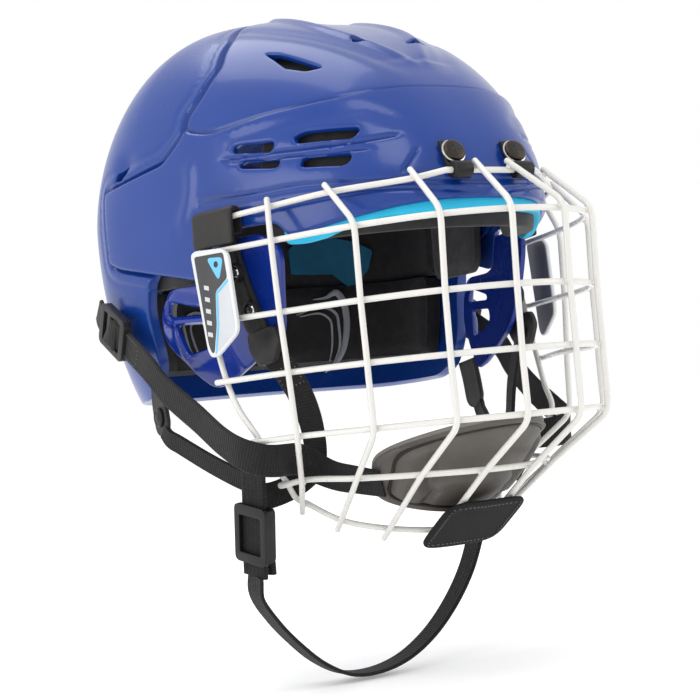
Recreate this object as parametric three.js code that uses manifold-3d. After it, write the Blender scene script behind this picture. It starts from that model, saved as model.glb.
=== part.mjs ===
import * as THREE from 'three';
import Module from 'manifold-3d';

// Ice hockey helmet with a wire cage. Millimetres, +Z up, helmet faces -Y.
// Origin = middle of the head cavity. Wearer's right is -X.

// ---- driving dimensions -------------------------------------------------
const DOME = { YC: 42.23, AX: 100.84, AF: 172.98, AB: 88.55, AU: 107.11, AD: 150, PF: 1.737, PB: 1.793, PX: 2.807, TAU: 0.0941, EG: 0.0019757 };
const SHELL_T = 3.0;          // shell wall
const LAYER_GAP = 0.6;        // radial clearance, front shell over rear shell
const WIRE_R = 1.4;           // cage wire radius
const WIRE_GAP = 0.35;        // clearance at every wire crossing
const HINGE = { y: -133.0, z: -1.6 };   // top wire line inside the forehead clips
const CLIP = { x: 16.6, w: 9.0, r: 4.0 };
const WEB_W = 15, WEB_T = 1.6;          // webbing
const BOTTOM_HINGE = { y: -81.0, z: -160.6 };

// rows of the cage at the four vertical wires of one side, then at the side wire
const ROW1 = [[8.6, -133.0, -1.6], [36, -123.6, -2.4], [62.5, -94.3, -3.8], [77.3, -64.7, -5.6]];
const ROW2 = [[13.5, -161.7, -22.5], [39.5, -147.5, -22.5], [62.8, -115.3, -22.5], [80.4, -71.3, -22.5], [93.2, -19, -22.5]];
const ROW3 = [[13.7, -161.2, -55.5], [39.8, -146.8, -55.5], [62.5, -115.4, -55.5], [79.6, -72.0, -55.5], [93.4, -23.5, -55.5]];
const ROW4 = [[14.0, -160.9, -83], [40.0, -146.6, -83], [62.2, -115.7, -83], [77.8, -71.9, -83.2], [92.4, -32.5, -84]];
const ROW5 = [[13.8, -159.8, -112], [39.6, -145.6, -112], [61.7, -114.7, -112.3], [75.8, -70.9, -113], [86.3, -48.5, -112.6]];
const ROW6 = [[12.9, -121.0, -135.8], [35.4, -104.8, -135.5], [54.2, -81.6, -134.9], [63.2, -47.3, -134.4], [67.2, -35.2, -134.2]];
const TIPS = [[12.1, -76, -165.5], [29.6, -60.5, -163], [46, -46.5, -157.5], [55.8, -31.5, -148.5]];

const wasm = await Module(); wasm.setup();
const group = new THREE.Group(); group.name = 'helmet_with_cage';

const COL = {
  shell: [0x1f3f9e, 0.25, 0.0], rear: [0x1d3a94, 0.28, 0.0], ear: [0x1b3690, 0.3, 0.0], cyan: [0x1fb4d6, 0.6, 0.0],
  foam: [0x1b1c20, 0.9, 0.0], teal: [0x126a8c, 0.8, 0.0], steel: [0xe2ded6, 0.35, 0.2], black: [0x141416, 0.5, 0.0],
  web: [0x2a2828, 0.95, 0.0], screw: [0x1a1a1c, 0.35, 0.6], cup: [0x66615b, 0.6, 0.0], plate: [0xe6e6e6, 0.4, 0.0], chrome: [0xc8c8c8, 0.2, 1.0]
};
function add(name, geo, key) {
  const [c, r, m] = COL[key];
  const mesh = new THREE.Mesh(geo, new THREE.MeshStandardMaterial({ color: c, roughness: r, metalness: m }));
  mesh.name = name; group.add(mesh); return mesh;
}

// ---- vector helpers -----------------------------------------------------
const V = (a) => new THREE.Vector3(a[0], a[1], a[2]);
const sub = (a, b) => [a[0] - b[0], a[1] - b[1], a[2] - b[2]];
const addv = (a, b) => [a[0] + b[0], a[1] + b[1], a[2] + b[2]];
const mul = (a, s) => [a[0] * s, a[1] * s, a[2] * s];
const dot = (a, b) => a[0] * b[0] + a[1] * b[1] + a[2] * b[2];
const cross = (a, b) => [a[1] * b[2] - a[2] * b[1], a[2] * b[0] - a[0] * b[2], a[0] * b[1] - a[1] * b[0]];
const len = (a) => Math.hypot(a[0], a[1], a[2]);
const norm = (a) => mul(a, 1 / (len(a) || 1));
const mirror = (p) => [-p[0], p[1], p[2]];
const lerp = (a, b, t) => addv(mul(a, 1 - t), mul(b, t));

function geoFrom(verts, tris) {
  const g = new THREE.BufferGeometry();
  g.setAttribute('position', new THREE.Float32BufferAttribute(verts.flat(), 3));
  g.setIndex(tris.flat());
  g.computeVertexNormals();
  return g;
}
// keeps every closed surface oriented outwards
function orient(verts, tris) {
  let vol = 0;
  for (const [a, b, c] of tris) vol += dot(verts[a], cross(verts[b], verts[c]));
  return vol < 0 ? tris.map(([a, b, c]) => [a, c, b]) : tris;
}
const solid = (verts, tris) => geoFrom(verts, orient(verts, tris));

// closed sweep of a section through stations; sections[i] = ring of points, all rings equal in length
function sweep(rings) {
  const n = rings[0].length, v = [], t = [];
  for (const r of rings) v.push(...r);
  for (let i = 0; i + 1 < rings.length; i++) for (let j = 0; j < n; j++) {
    const a = i * n + j, b = i * n + (j + 1) % n, c = a + n, d = b + n;
    t.push([a, b, d], [a, d, c]);
  }
  const last = (rings.length - 1) * n;
  for (let j = 1; j + 1 < n; j++) { t.push([0, j + 1, j]); t.push([last, last + j, last + j + 1]); }
  return solid(v, t);
}
// polyline with each marked corner rounded
function rounded(pts, f = 4, seg = 3) {
  const out = [pts[0]];
  for (let i = 1; i + 1 < pts.length; i++) {
    const P = pts[i], A = pts[i - 1], B = pts[i + 1];
    const u = norm(sub(A, P)), w = norm(sub(B, P));
    const ang = Math.PI - Math.acos(Math.max(-1, Math.min(1, dot(u, w))));
    if (ang < 0.05) { out.push(P); continue; }
    const ff = Math.min(f, len(sub(A, P)) * 0.45, len(sub(B, P)) * 0.45);
    const mid = lerp(lerp(addv(P, mul(u, ff)), P, 0.5), lerp(P, addv(P, mul(w, ff)), 0.5), 0.5);
    const Q = addv(P, sub(P, mid));              // corner moved so the arc runs through P
    const s = addv(Q, mul(u, ff)), e = addv(Q, mul(w, ff));
    const k = ang > 0.35 ? seg : 2;
    for (let q = 0; q <= k; q++) { const tt = q / k; out.push(lerp(lerp(s, Q, tt), lerp(Q, e, tt), tt)); }
  }
  out.push(pts[pts.length - 1]);
  return out;
}
function smooth(pts, per = 3) {
  const c = new THREE.CatmullRomCurve3(pts.map(V), false, 'centripetal');
  const n = (pts.length - 1) * per, out = [];
  for (let i = 0; i <= n; i++) { const p = c.getPoint(i / n); out.push([p.x, p.y, p.z]); }
  return out;
}
function tube(pts, r = WIRE_R, sides = 6) {
  const T = pts.map((p, i) => norm(sub(pts[Math.min(i + 1, pts.length - 1)], pts[Math.max(i - 1, 0)])));
  let u = norm(cross(T[0], Math.abs(T[0][2]) < 0.8 ? [0, 0, 1] : [1, 0, 0]));
  const rings = [];
  for (let i = 0; i < pts.length; i++) {
    u = norm(sub(u, mul(T[i], dot(u, T[i]))));
    const w = cross(T[i], u), ring = [];
    for (let k = 0; k < sides; k++) { const a = 2 * Math.PI * k / sides; ring.push(addv(pts[i], addv(mul(u, r * Math.cos(a)), mul(w, r * Math.sin(a))))); }
    rings.push(ring);
  }
  return sweep(rings);
}
// flat webbing: pts with a face normal each
function band(pts, normals, w = WEB_W, t = WEB_T, per = 3) {
  const P = smooth(pts, per), N = smooth(normals, per);
  const rings = P.map((p, i) => {
    const T = norm(sub(P[Math.min(i + 1, P.length - 1)], P[Math.max(i - 1, 0)]));
    let n = norm(N[i]); n = norm(sub(n, mul(T, dot(n, T))));
    const b = cross(T, n), h = t / 2, k = w / 2;
    return [addv(p, addv(mul(b, k), mul(n, h))), addv(p, addv(mul(b, -k), mul(n, h))), addv(p, addv(mul(b, -k), mul(n, -h))), addv(p, addv(mul(b, k), mul(n, -h)))];
  });
  return sweep(rings);
}
function mirrorGeo(g) {
  const m = g.clone(); m.applyMatrix4(new THREE.Matrix4().makeScale(-1, 1, 1));
  const idx = Array.from(m.index.array);
  for (let i = 0; i < idx.length; i += 3) { const t = idx[i]; idx[i] = idx[i + 1]; idx[i + 1] = t; }
  m.setIndex(idx); m.computeVertexNormals(); return m;
}

// ---- manifold bridge ----------------------------------------------------
function toMan(geo) {
  const g = geo.clone(); g.deleteAttribute('normal'); g.deleteAttribute('uv');
  const pos = g.attributes.position, map = new Map(), verts = [], tri = [];
  const id = (i) => {
    const k = `${Math.round(pos.getX(i) * 1e4)},${Math.round(pos.getY(i) * 1e4)},${Math.round(pos.getZ(i) * 1e4)}`;
    if (!map.has(k)) { map.set(k, verts.length / 3); verts.push(pos.getX(i), pos.getY(i), pos.getZ(i)); }
    return map.get(k);
  };
  const src = g.index ? g.index.array : [...Array(pos.count).keys()];
  for (let i = 0; i < src.length; i += 3) { const a = id(src[i]), b = id(src[i + 1]), c = id(src[i + 2]); if (a !== b && b !== c && a !== c) tri.push(a, b, c); }
  return new wasm.Manifold(new wasm.Mesh({ numProp: 3, vertProperties: new Float32Array(verts), triVerts: new Uint32Array(tri) }));
}
function toGeo(man) {
  const m = man.getMesh(), g = new THREE.BufferGeometry();
  const np = m.numProp, v = new Float32Array(m.vertProperties.length / np * 3);
  for (let i = 0; i < m.vertProperties.length / np; i++) for (let k = 0; k < 3; k++) v[i * 3 + k] = m.vertProperties[i * np + k];
  g.setAttribute('position', new THREE.BufferAttribute(v, 3)); g.setIndex(Array.from(m.triVerts)); g.computeVertexNormals();
  return g;
}

// ---- dome ---------------------------------------------------------------
// b: 0 forehead, 90 crown, 180 back of the head; g: -90 wearer's right, +90 left
function dome(bDeg, gDeg, off = 0) {
  const b = bDeg * Math.PI / 180, g = gDeg * Math.PI / 180, D = DOME;
  const Dx = Math.sin(g), Dy = -Math.cos(g) * Math.cos(b), Dz = Math.cos(g) * Math.sin(b);
  const ay = Dy < 0 ? D.AF : D.AB, pp = Dy < 0 ? D.PF : D.PB, az = Dz > 0 ? D.AU : D.AD;
  const yz = Math.pow(Math.pow(Math.abs(Dy / ay), pp) + Math.pow(Math.abs(Dz / az), pp), 1 / pp);
  const R = Math.pow(Math.pow(Math.abs(Dx / D.AX), D.PX) + Math.pow(yz, D.PX), -1 / D.PX) + off;
  let x = R * Dx; const y = R * Dy, z = R * Dz; x *= 1 + D.EG * y;
  const c = Math.cos(D.TAU), s = Math.sin(D.TAU);
  return [x, c * y - s * z + D.YC, s * y + c * z];
}
function domeSolid(off, nb = 36, ng = 22) {
  const v = [], t = [];
  const gs = []; for (let j = 1; j < ng; j++) gs.push(-90 + 180 * j / ng);
  v.push(dome(0, -90, off));
  for (const g of gs) for (let i = 0; i < nb; i++) v.push(dome(360 * i / nb, g, off));
  v.push(dome(0, 90, off));
  const last = v.length - 1;
  for (let i = 0; i < nb; i++) { const k = (i + 1) % nb; t.push([0, 1 + i, 1 + k]); t.push([last, last - nb + k, last - nb + i]); }
  for (let j = 0; j + 1 < gs.length; j++) for (let i = 0; i < nb; i++) {
    const k = (i + 1) % nb, a = 1 + j * nb + i, b = 1 + j * nb + k, c = a + nb, d = b + nb;
    t.push([a, d, b], [a, c, d]);
  }
  return toMan(solid(v, t));
}
function prismX(poly, x0, x1) {
  const s = new THREE.Shape(poly.map(([y, z]) => new THREE.Vector2(y, z)));
  const g = new THREE.ExtrudeGeometry(s, { depth: x1 - x0, bevelEnabled: false, steps: 1 });
  // shape plane (Y,Z), depth along +X
  g.applyMatrix4(new THREE.Matrix4().set(0, 0, 1, x0, 1, 0, 0, 0, 0, 1, 0, 0, 0, 0, 0, 1));
  return toMan(g);
}
// prism through the wall following a polygon given in dome angles
function domePrism(bg, o1 = 8, o0 = -9) {
  const n = bg.length, v = [], t = [];
  for (const [b, g] of bg) v.push(dome(b, g, o1));
  for (const [b, g] of bg) v.push(dome(b, g, o0));
  const tri = THREE.ShapeUtils.triangulateShape(bg.map(([b, g]) => new THREE.Vector2(b, g)), []);
  for (const [a, b, c] of tri) { t.push([a, b, c]); t.push([n + a, n + c, n + b]); }
  const cw = THREE.ShapeUtils.isClockWise(bg.map(([b, g]) => new THREE.Vector2(b, g)));
  for (let i = 0; i < n; i++) { const j = (i + 1) % n; if (cw) t.push([i, j, n + j], [i, n + j, n + i]); else t.push([j, i, n + i], [j, n + i, n + j]); }
  return toMan(solid(v, t));
}
const both = (bg) => [bg, bg.map(([b, g]) => [b, -g])];

// ---- shells -------------------------------------------------------------
const VENTS_FRONT = [
  [[49, -31.6], [45.9, -29.4], [33.6, -24.2], [34.6, -27.6], [38.8, -30.7]],
  [[44.6, -10.3], [42.9, -5.9], [40.8, -7.4], [42.1, -11.3]],
  [[24.3, -48.3], [23.6, -46.5], [19.1, -39.4], [17.1, -40], [17.3, -41.5], [22.1, -48.7]],
  [[17.9, -35.5], [18.1, -33.4], [15.2, -23.9], [14.5, -23.8], [13.3, -25.6], [16.1, -35.4]],
  [[17.4, -48.2], [17.5, -46.9], [13.6, -39.1], [12.1, -39.6], [12.3, -41], [16, -47.9]],
  [[11.9, -35.4], [12.1, -34.3], [10.3, -26.4], [8.9, -27], [8.4, -28.3], [10.3, -35.7]],
];
const VENTS_REAR = [
  [[129, -71.8], [122.5, -70.6], [102.3, -71.3], [104.9, -73], [115.8, -73.7]],
  [[118, -26], [112, -22], [136, -17], [140, -22]],
  [[150, -30], [146, -24], [160, -18], [163, -26]],
];
const frontProfile = [[-160, -13.5], [-129, -13.3], [-116, -14.8], [-95, -17.6], [-75, -20.3], [-66, -20.5], [-62, -15], [-58, -13], [-39, -12.4], [-12, -14], [-7, -31], [-3, -33], [24, -27], [60, -19], [70, -15], [70, 22.3], [60, 23], [43, 24.5], [14, 27.5], [4, 34], [-3, 40], [-3, 47], [-10, 57], [-14, 71], [-4, 88], [14, 102], [14, 130], [-160, 130]];
const rearProfile = [[-19, 30], [-18, 8], [-17, -8], [-4, -14], [20, -20], [36, -30], [40, -45], [38, -70], [45, -84], [60, -90], [100, -92], [150, -90], [150, 130], [2, 130], [-2, 104], [-14, 92], [-25, 72], [-21, 56]];
const O = {}; const layer = (o1, o0) => { for (const o of [o1, o0]) if (!O[o]) O[o] = domeSolid(o); return O[o1].subtract(O[o0]); };
let shellFront = layer(0, -SHELL_T).intersect(prismX(frontProfile, -130, 130));
for (const p of VENTS_FRONT) for (const q of both(p)) shellFront = shellFront.subtract(domePrism(q));
add('shell_front', toGeo(shellFront), 'shell');
const R1 = -(SHELL_T + LAYER_GAP);
let shellRear = layer(R1, R1 - 2.8).intersect(prismX(rearProfile, -130, 130));
for (const p of VENTS_REAR) for (const q of both(p)) shellRear = shellRear.subtract(domePrism(q, 8, -14));
add('shell_rear', toGeo(shellRear), 'rear');

// ---- liners and pads ----------------------------------------------------
const P0 = R1 - 2.8 - 0.6;                       // face of the liners behind the rear shell
const piece = (o1, o0, poly, x0 = -130, x1 = 130) => layer(o1, o0).intersect(prismX(poly, x0, x1));
add('brow_liner', toGeo(piece(-SHELL_T - 0.4, -SHELL_T - 4.4, [[-160, -19.8], [-126, -19.8], [-112, -19], [-98, -21], [-85, -24.5], [-74, -25.5], [-64, -24.5], [-64, -4], [-160, -4]])), 'cyan');
add('pad_forehead', toGeo(piece(-SHELL_T - 4.8, -SHELL_T - 16, [[-160, -28], [-60, -24], [-52, -10], [-52, 34], [-160, 34]])), 'foam');
add('pad_crown', toGeo(piece(-SHELL_T - 4.8, -SHELL_T - 15, [[-80, 40], [-44, 52], [-36, 72], [-28, 88], [-20, 96], [-20, 130], [-110, 130], [-110, 40]])), 'foam');
const temple = [[-10, 8], [-8, -30], [-2, -37], [50, -36], [55, -30], [55, 6], [40, 12], [-4, 12]];
add('pad_temple_r', toGeo(piece(P0 - 3.2, P0 - 9.4, temple, -130, -20)), 'foam');
add('pad_temple_l', toGeo(piece(P0 - 3.2, P0 - 9.4, temple, 20, 130)), 'foam');
add('pad_rear_upper', toGeo(piece(P0, P0 - 8, [[58, -30], [150, -30], [150, 40], [70, 55], [58, 30]])), 'teal');
add('pad_occipital', toGeo(piece(P0, P0 - 12, [[62, -80], [150, -80], [150, -31], [62, -31]])), 'foam');

// ---- ear guards ---------------------------------------------------------
const earPoly = [[-30, -17], [-50, -16.5], [-60, -24], [-60, -32], [-55, -51], [-51, -64], [-43, -70], [-30, -76], [-8, -86], [4.5, -88], [21, -74], [32, -61], [33, -46], [24, -35], [-4, -35.5], [-12, -33], [-16, -17]];
const EAR_OFF = -2.2;
function earGuard(side) {
  const x0 = side < 0 ? -130 : 20, x1 = side < 0 ? -20 : 130;
  let m = piece(EAR_OFF, EAR_OFF - 2.6, earPoly, x0, x1);
  m = m.subtract(prismX([[22.6, -41.5], [-2.3, -47.5], [-3, -50.5], [26, -49]], x0, x1));
  m = m.subtract(prismX([[21, -54], [-6, -55.6], [-9, -62], [-4, -66.5], [16, -69.5]], x0, x1));
  return toGeo(m);
}
add('ear_guard_r', earGuard(-1), 'ear'); add('ear_guard_l', earGuard(1), 'ear');

// ---- snap strips over the front edge of the ear guards --------------------
const stripPoly = [[-27, -15], [-34, -14.6], [-42.5, -60], [-40, -64], [-30, -62], [-27, -40]];
add('snap_strip_r', toGeo(piece(1.6, -0.4, stripPoly, -130, -20)), 'black');
add('snap_strip_l', toGeo(piece(1.6, -0.4, stripPoly, 20, 130)), 'black');
function surfaceFrame(y, z, side, off) {
  // nearest dome point for a side-view position
  let best = null;
  for (let b = -80; b < 80; b += 1) for (let g = 20; g < 86; g += 1) { const p = dome(b, g * side, off), d = Math.hypot(p[1] - y, p[2] - z); if (!best || d < best[0]) best = [d, b, g * side]; }
  const [, b, g] = best, p = dome(b, g, off), e = 1;
  let n = norm(cross(sub(dome(b + e, g, off), p), sub(dome(b, g + e, off), p)));
  if (dot(n, [p[0], 0, 0]) < 0) n = mul(n, -1);
  return { p, n };
}
function disc(center, n, profile, sides = 16) {
  // profile [r, h] from axis to axis, revolved about n
  const pts = profile.map(([r, h]) => new THREE.Vector2(r, h));
  const g = new THREE.LatheGeometry(pts, sides);
  const q = new THREE.Quaternion().setFromUnitVectors(new THREE.Vector3(0, 1, 0), V(n));
  g.applyQuaternion(q); g.translate(...center);
  return toGeo(toMan(g));
}
for (const [tag, side] of [['r', -1], ['l', 1]]) {
  const A = surfaceFrame(-33.5, -33, side, 2.0), B = surfaceFrame(-36, -50, side, 2.0);
  const prof = [[0, 0], [4.6, 0], [4.6, 1.2], [3.2, 2.0], [0, 2.0]];
  add(`snap_upper_${tag}`, disc(A.p, A.n, prof), 'chrome');
  add(`snap_lower_${tag}`, disc(B.p, B.n, prof), 'chrome');
}

// ---- forehead clips and screws -------------------------------------------
function clip(side) {
  // J-shaped clip: a flat tongue against the forehead, turned round the top wire
  const s = new THREE.Shape();
  const cx = HINGE.y, cz = HINGE.z, r = CLIP.r;
  const pts = [[-122.5, 11.8], [-123.2, 12.9], [-124.4, 13.2], [-125.3, 12.4], [-129.3, 2.6]];
  for (let a = 50; a <= 330; a += 20) { const t = a * Math.PI / 180; pts.push([cx + r * Math.cos(t), cz + r * Math.sin(t)]); }
  pts.push([-128.4, -2.4], [-127.6, -1], [-125.1, 6]);
  s.setFromPoints(pts.map(([a, b]) => new THREE.Vector2(a, b)));
  const h = new THREE.Path(); const hp = [];
  for (let k = 0; k < 16; k++) { const t = -2 * Math.PI * k / 16; hp.push(new THREE.Vector2(cx + 2.25 * Math.cos(t), cz + 2.25 * Math.sin(t))); }
  h.setFromPoints(hp); s.holes.push(h);
  const g = new THREE.ExtrudeGeometry(s, { depth: CLIP.w, bevelEnabled: false, steps: 1 });
  const x0 = side * CLIP.x - CLIP.w / 2;
  g.applyMatrix4(new THREE.Matrix4().set(0, 0, 1, x0, 1, 0, 0, 0, 0, 1, 0, 0, 0, 0, 0, 1));
  return toGeo(toMan(g));
}
add('forehead_clip_r', clip(-1), 'black'); add('forehead_clip_l', clip(1), 'black');
function screw(side) {
  const n = [0, -0.921, 0.39], c = addv([side * CLIP.x, -127.5, 7.0], mul(n, 0.75));
  const prof = [[0, 0], [5.3, 0], [5.3, 1.0], [4.6, 2.0], [0, 2.0]];
  let m = toMan(disc(c, n, prof, 24));
  for (const [a, b] of [[0.6, 3.0], [3.0, 0.6]]) {
    const g = new THREE.BoxGeometry(a * 2, b * 2, 3), q = new THREE.Quaternion().setFromUnitVectors(new THREE.Vector3(0, 0, 1), V(n));
    g.applyQuaternion(q); const o = addv(c, mul(n, 2.6)); g.translate(o[0], o[1], o[2]); m = m.subtract(toMan(g));
  }
  return toGeo(m);
}
add('clip_screw_r', screw(-1), 'screw'); add('clip_screw_l', screw(1), 'screw');

// ---- cage wires -----------------------------------------------------------
const H = WIRE_R + WIRE_GAP / 2;                 // half the centre distance at a crossing
const rows = [ROW1, ROW2, ROW3, ROW4, ROW5, ROW6];
const outward = (n, p) => (dot(n, sub(p, [0, -40, -60])) < 0 ? mul(n, -1) : n);
// bottom wire stations, 4.2 mm above each tip
const BOT = TIPS.map((t, j) => lerp(t, ROW6[j], 4.2 / len(sub(ROW6[j], t))));
function rowNeighbour(i, j) { // tangent along the row
  const r = rows[i], a = j === 0 ? mirror(r[0]) : r[j - 1], b = r[Math.min(j + 1, r.length - 1)];
  return norm(sub(b, a));
}
const nrm = rows.map((r, i) => r.map((p, j) => {
  if (j === 4) return null;
  const up = i === 0 ? p : rows[i - 1][j], dn = i === 5 ? BOT[j] : rows[i + 1][j];
  return outward(norm(cross(rowNeighbour(i, j), norm(sub(dn, up)))), p);
}));
const nBot = BOT.map((p, j) => outward(norm(cross(norm(sub(BOT[Math.min(j + 1, 3)], j === 0 ? mirror(BOT[0]) : BOT[j - 1])), norm(sub(TIPS[j], ROW6[j])))), p));
// vertical wires
const vert = [0, 1, 2, 3].map((j) => {
  const pts = [];
  const t0 = norm(sub(ROW1[j], ROW2[j]));
  const p1 = j === 0 ? addv([8.6, HINGE.y, HINGE.z], mul(nrm[0][0], 2 * H)) : addv(ROW1[j], mul(nrm[0][j], H));
  pts.push(addv(p1, mul(t0, 2.4)));
  for (let i = 1; i < 6; i++) pts.push(addv(rows[i][j], mul(nrm[i][j], H)));
  pts.push(addv(TIPS[j], mul(nBot[j], H)));
  return rounded(pts, 4.5, 3);
});
vert.forEach((p, j) => {
  add(`cage_vertical_l${j + 1}`, tube(p), 'steel');
  add(`cage_vertical_r${j + 1}`, tube(p.map(mirror).reverse()), 'steel');
});
// side wire and bottom wire, one U-shaped piece
const sideDir = [[0.05, -0.12, -1], [0, -0.22, -1], [-0.2, -0.42, -1], [-0.75, -0.1, -1], [-0.8, 0.45, -0.9]];
const nSide = [1, 2, 3, 4, 5].map((i, k) => {
  const r = rows[i], th = norm(sub(r[4], r[3]));
  const n = norm(cross(th, norm(sideDir[k])));
  return n[0] < 0 ? mul(n, -1) : n;
});
const sp = [1, 2, 3, 4, 5].map((i, k) => sub(rows[i][4], mul(nSide[k], H)));
const half = [[91.2, -17.2, -11.6], sp[0], sp[1], sp[2], [89.0, -38.5, -98], sp[3], [76.5, -42.5, -124.5], sp[4], [59.6, -32.2, -142.5]];
const botPts = [3, 2, 1, 0].map((j) => sub(BOT[j], mul(nBot[j], H)));
const uHalf = [...half, ...botPts];
const uFull = [...uHalf, [0, botPts[3][1], botPts[3][2]], ...uHalf.map(mirror).reverse()];
add('cage_rim_wire', tube(smooth(uFull, 2)), 'steel');
// rows
const row = (i) => {
  const r = rows[i].slice(0, 4).map((p, j) => sub(p, mul(nrm[i][j], H)));
  if (i === 0) {
    r[0] = [8.6, HINGE.y, HINGE.z];
    return [r[0], [24, HINGE.y + 0.6, HINGE.z - 0.1], ...r.slice(1), [85.2, -42, -7.0], [90.6, -23.5, -7.6]];
  }
  const e = addv(rows[i][4], mul(nSide[i - 1], H)), th = norm(sub(rows[i][4], rows[i][3]));
  const over = [0, 1.2, 1.2, 3.4, 1.4, 1.6][i];
  return [...r, e, addv(e, mul(th, over))];
};
for (let i = 0; i < 6; i++) {
  const h = row(i), full = [...h.map(mirror).reverse(), ...h];
  const pts = i === 0 ? [...smooth(h.slice(1).map(mirror).reverse(), 3), ...smooth(h.slice(1), 3)] : smooth(full, 2);
  add(i === 0 ? 'cage_top_wire' : `cage_row_${i + 1}`, tube(pts), 'steel');
}

// ---- corner sleeves and side plates ---------------------------------------
function sleeve() {
  // inverted U around the end of the top wire, wearer's left
  const a = [84.6, -43.5, -7.0], b = [90.6, -22.0, -7.6], T = norm(sub([b[0], b[1], 0], [a[0], a[1], 0])), Nn = [-T[1] * -1, 0, 0];
  const out = norm([T[1], -T[0], 0]);
  const rings = [a, lerp(a, b, 0.5), lerp(a, b, 1.22)].map((c) => {
    const f = (o, z) => [c[0] + out[0] * o, c[1] + out[1] * o, z];
    return [f(-2.3, -14.5), f(-2.3, -5.2), f(-1.6, -4.6), f(1.9, -4.6), f(2.4, -5.4), f(2.4, -19.6), f(4.4, -19.6), f(4.4, -4.6), f(3.0, -2.6), f(-2.4, -2.6), f(-3.4, -4.0), f(-3.4, -14.5)];
  });
  const tri = THREE.ShapeUtils.triangulateShape(rings[0].map((p) => new THREE.Vector2(dot(sub(p, a), out), p[2])), []);
  const n = rings[0].length, v = rings.flat(), t = [];
  for (let i = 0; i + 1 < rings.length; i++) for (let j = 0; j < n; j++) { const p = i * n + j, q = i * n + (j + 1) % n; t.push([p, q, q + n], [p, q + n, p + n]); }
  const cw = THREE.ShapeUtils.isClockWise(rings[0].map((p) => new THREE.Vector2(dot(sub(p, a), out), p[2])));
  const L = (rings.length - 1) * n;
  for (const [p, q, r] of tri) { if (cw) { t.push([p, q, r]); t.push([L + p, L + r, L + q]); } else { t.push([p, r, q]); t.push([L + p, L + q, L + r]); } }
  return solid(v, t);
}
const sl = sleeve();
add('corner_sleeve_l', sl, 'black'); add('corner_sleeve_r', mirrorGeo(sl), 'black');
const platePoly = [[-22, -22.8], [-24.6, -21.2], [-43.9, -22.3], [-48, -25.5], [-50.8, -59.5], [-49.5, -63], [-35.2, -72.2], [-30.7, -72.3], [-28.6, -69]];
function plate() {
  const px = (y) => 98.9 + 0.27 * (y + 19);
  const n = norm([1, -0.27, 0]), T = 2.0;
  const a = platePoly.map(([y, z]) => [px(y), y, z]), b = a.map((p) => addv(p, mul(n, T)));
  // small bevel on the outer face
  const c0 = a.reduce((s, p) => addv(s, mul(p, 1 / a.length)), [0, 0, 0]);
  const m = b.map((p) => addv(p, mul(n, -0.5)));
  const top = b.map((p) => { const d = sub(addv(c0, mul(n, T)), p); return addv(p, mul(norm(d), 0.6)); });
  const k = a.length, v = [...a, ...m, ...top], t = [];
  const tri = THREE.ShapeUtils.triangulateShape(platePoly.map(([y, z]) => new THREE.Vector2(y, z)), []);
  for (const [p, q, r] of tri) { t.push([p, r, q]); t.push([2 * k + p, 2 * k + q, 2 * k + r]); }
  for (let l = 0; l < 2; l++) for (let j = 0; j < k; j++) { const p = l * k + j, q = l * k + (j + 1) % k; t.push([p, q, q + k], [p, q + k, p + k]); }
  // consistent winding
  const cw = THREE.ShapeUtils.isClockWise(platePoly.map(([y, z]) => new THREE.Vector2(y, z)));
  const fixed = cw ? t.map((q, i) => (i < tri.length * 2 ? [q[0], q[2], q[1]] : q)) : t;
  return solid(v, fixed);
}
const pg = plate();
add('side_plate_l', pg, 'plate'); add('side_plate_r', mirrorGeo(pg), 'plate');

// ---- chin flap (wrapped round the bottom wire) and chin cup ----------------
{
  const d = norm([0, 46, -28.5]), no = [0, -d[2] * -1, -d[1]];
  const c = (s, o) => { // s along the lower wires from the tip upwards, o outward
    const tip = [0, TIPS[0][1] + nBot[0][1] * H, TIPS[0][2] + nBot[0][2] * H];
    const dir = norm(sub([0, ROW6[0][1], ROW6[0][2]], [0, TIPS[0][1], TIPS[0][2]]));
    const nn = norm([0, nBot[0][1], nBot[0][2]]);
    return [tip[1] + dir[1] * s + nn[1] * o, tip[2] + dir[2] * s + nn[2] * o];
  };
  const leaf = [c(36, 2.1), c(-1, 2.1), c(-2.2, 2.9), c(-1, 3.7), c(36, 3.7)];
  const wrap = [c(6, 2.1), c(0, 2.1), c(-1.9, 1.2), c(-2.4, -1), c(-2.2, -4.2), c(-0.8, -5.7), c(9, -5.7), c(9, -7.0), c(-1.4, -7.0), c(-3.6, -5), c(-4.0, -1), c(-3.2, 2.2), c(-0.6, 3.6), c(6, 3.6)];
  add('chin_flap', toGeo(prismX(leaf, -22, 22).add(prismX(wrap, -9.5, 9.5))), 'black');
}
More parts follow.
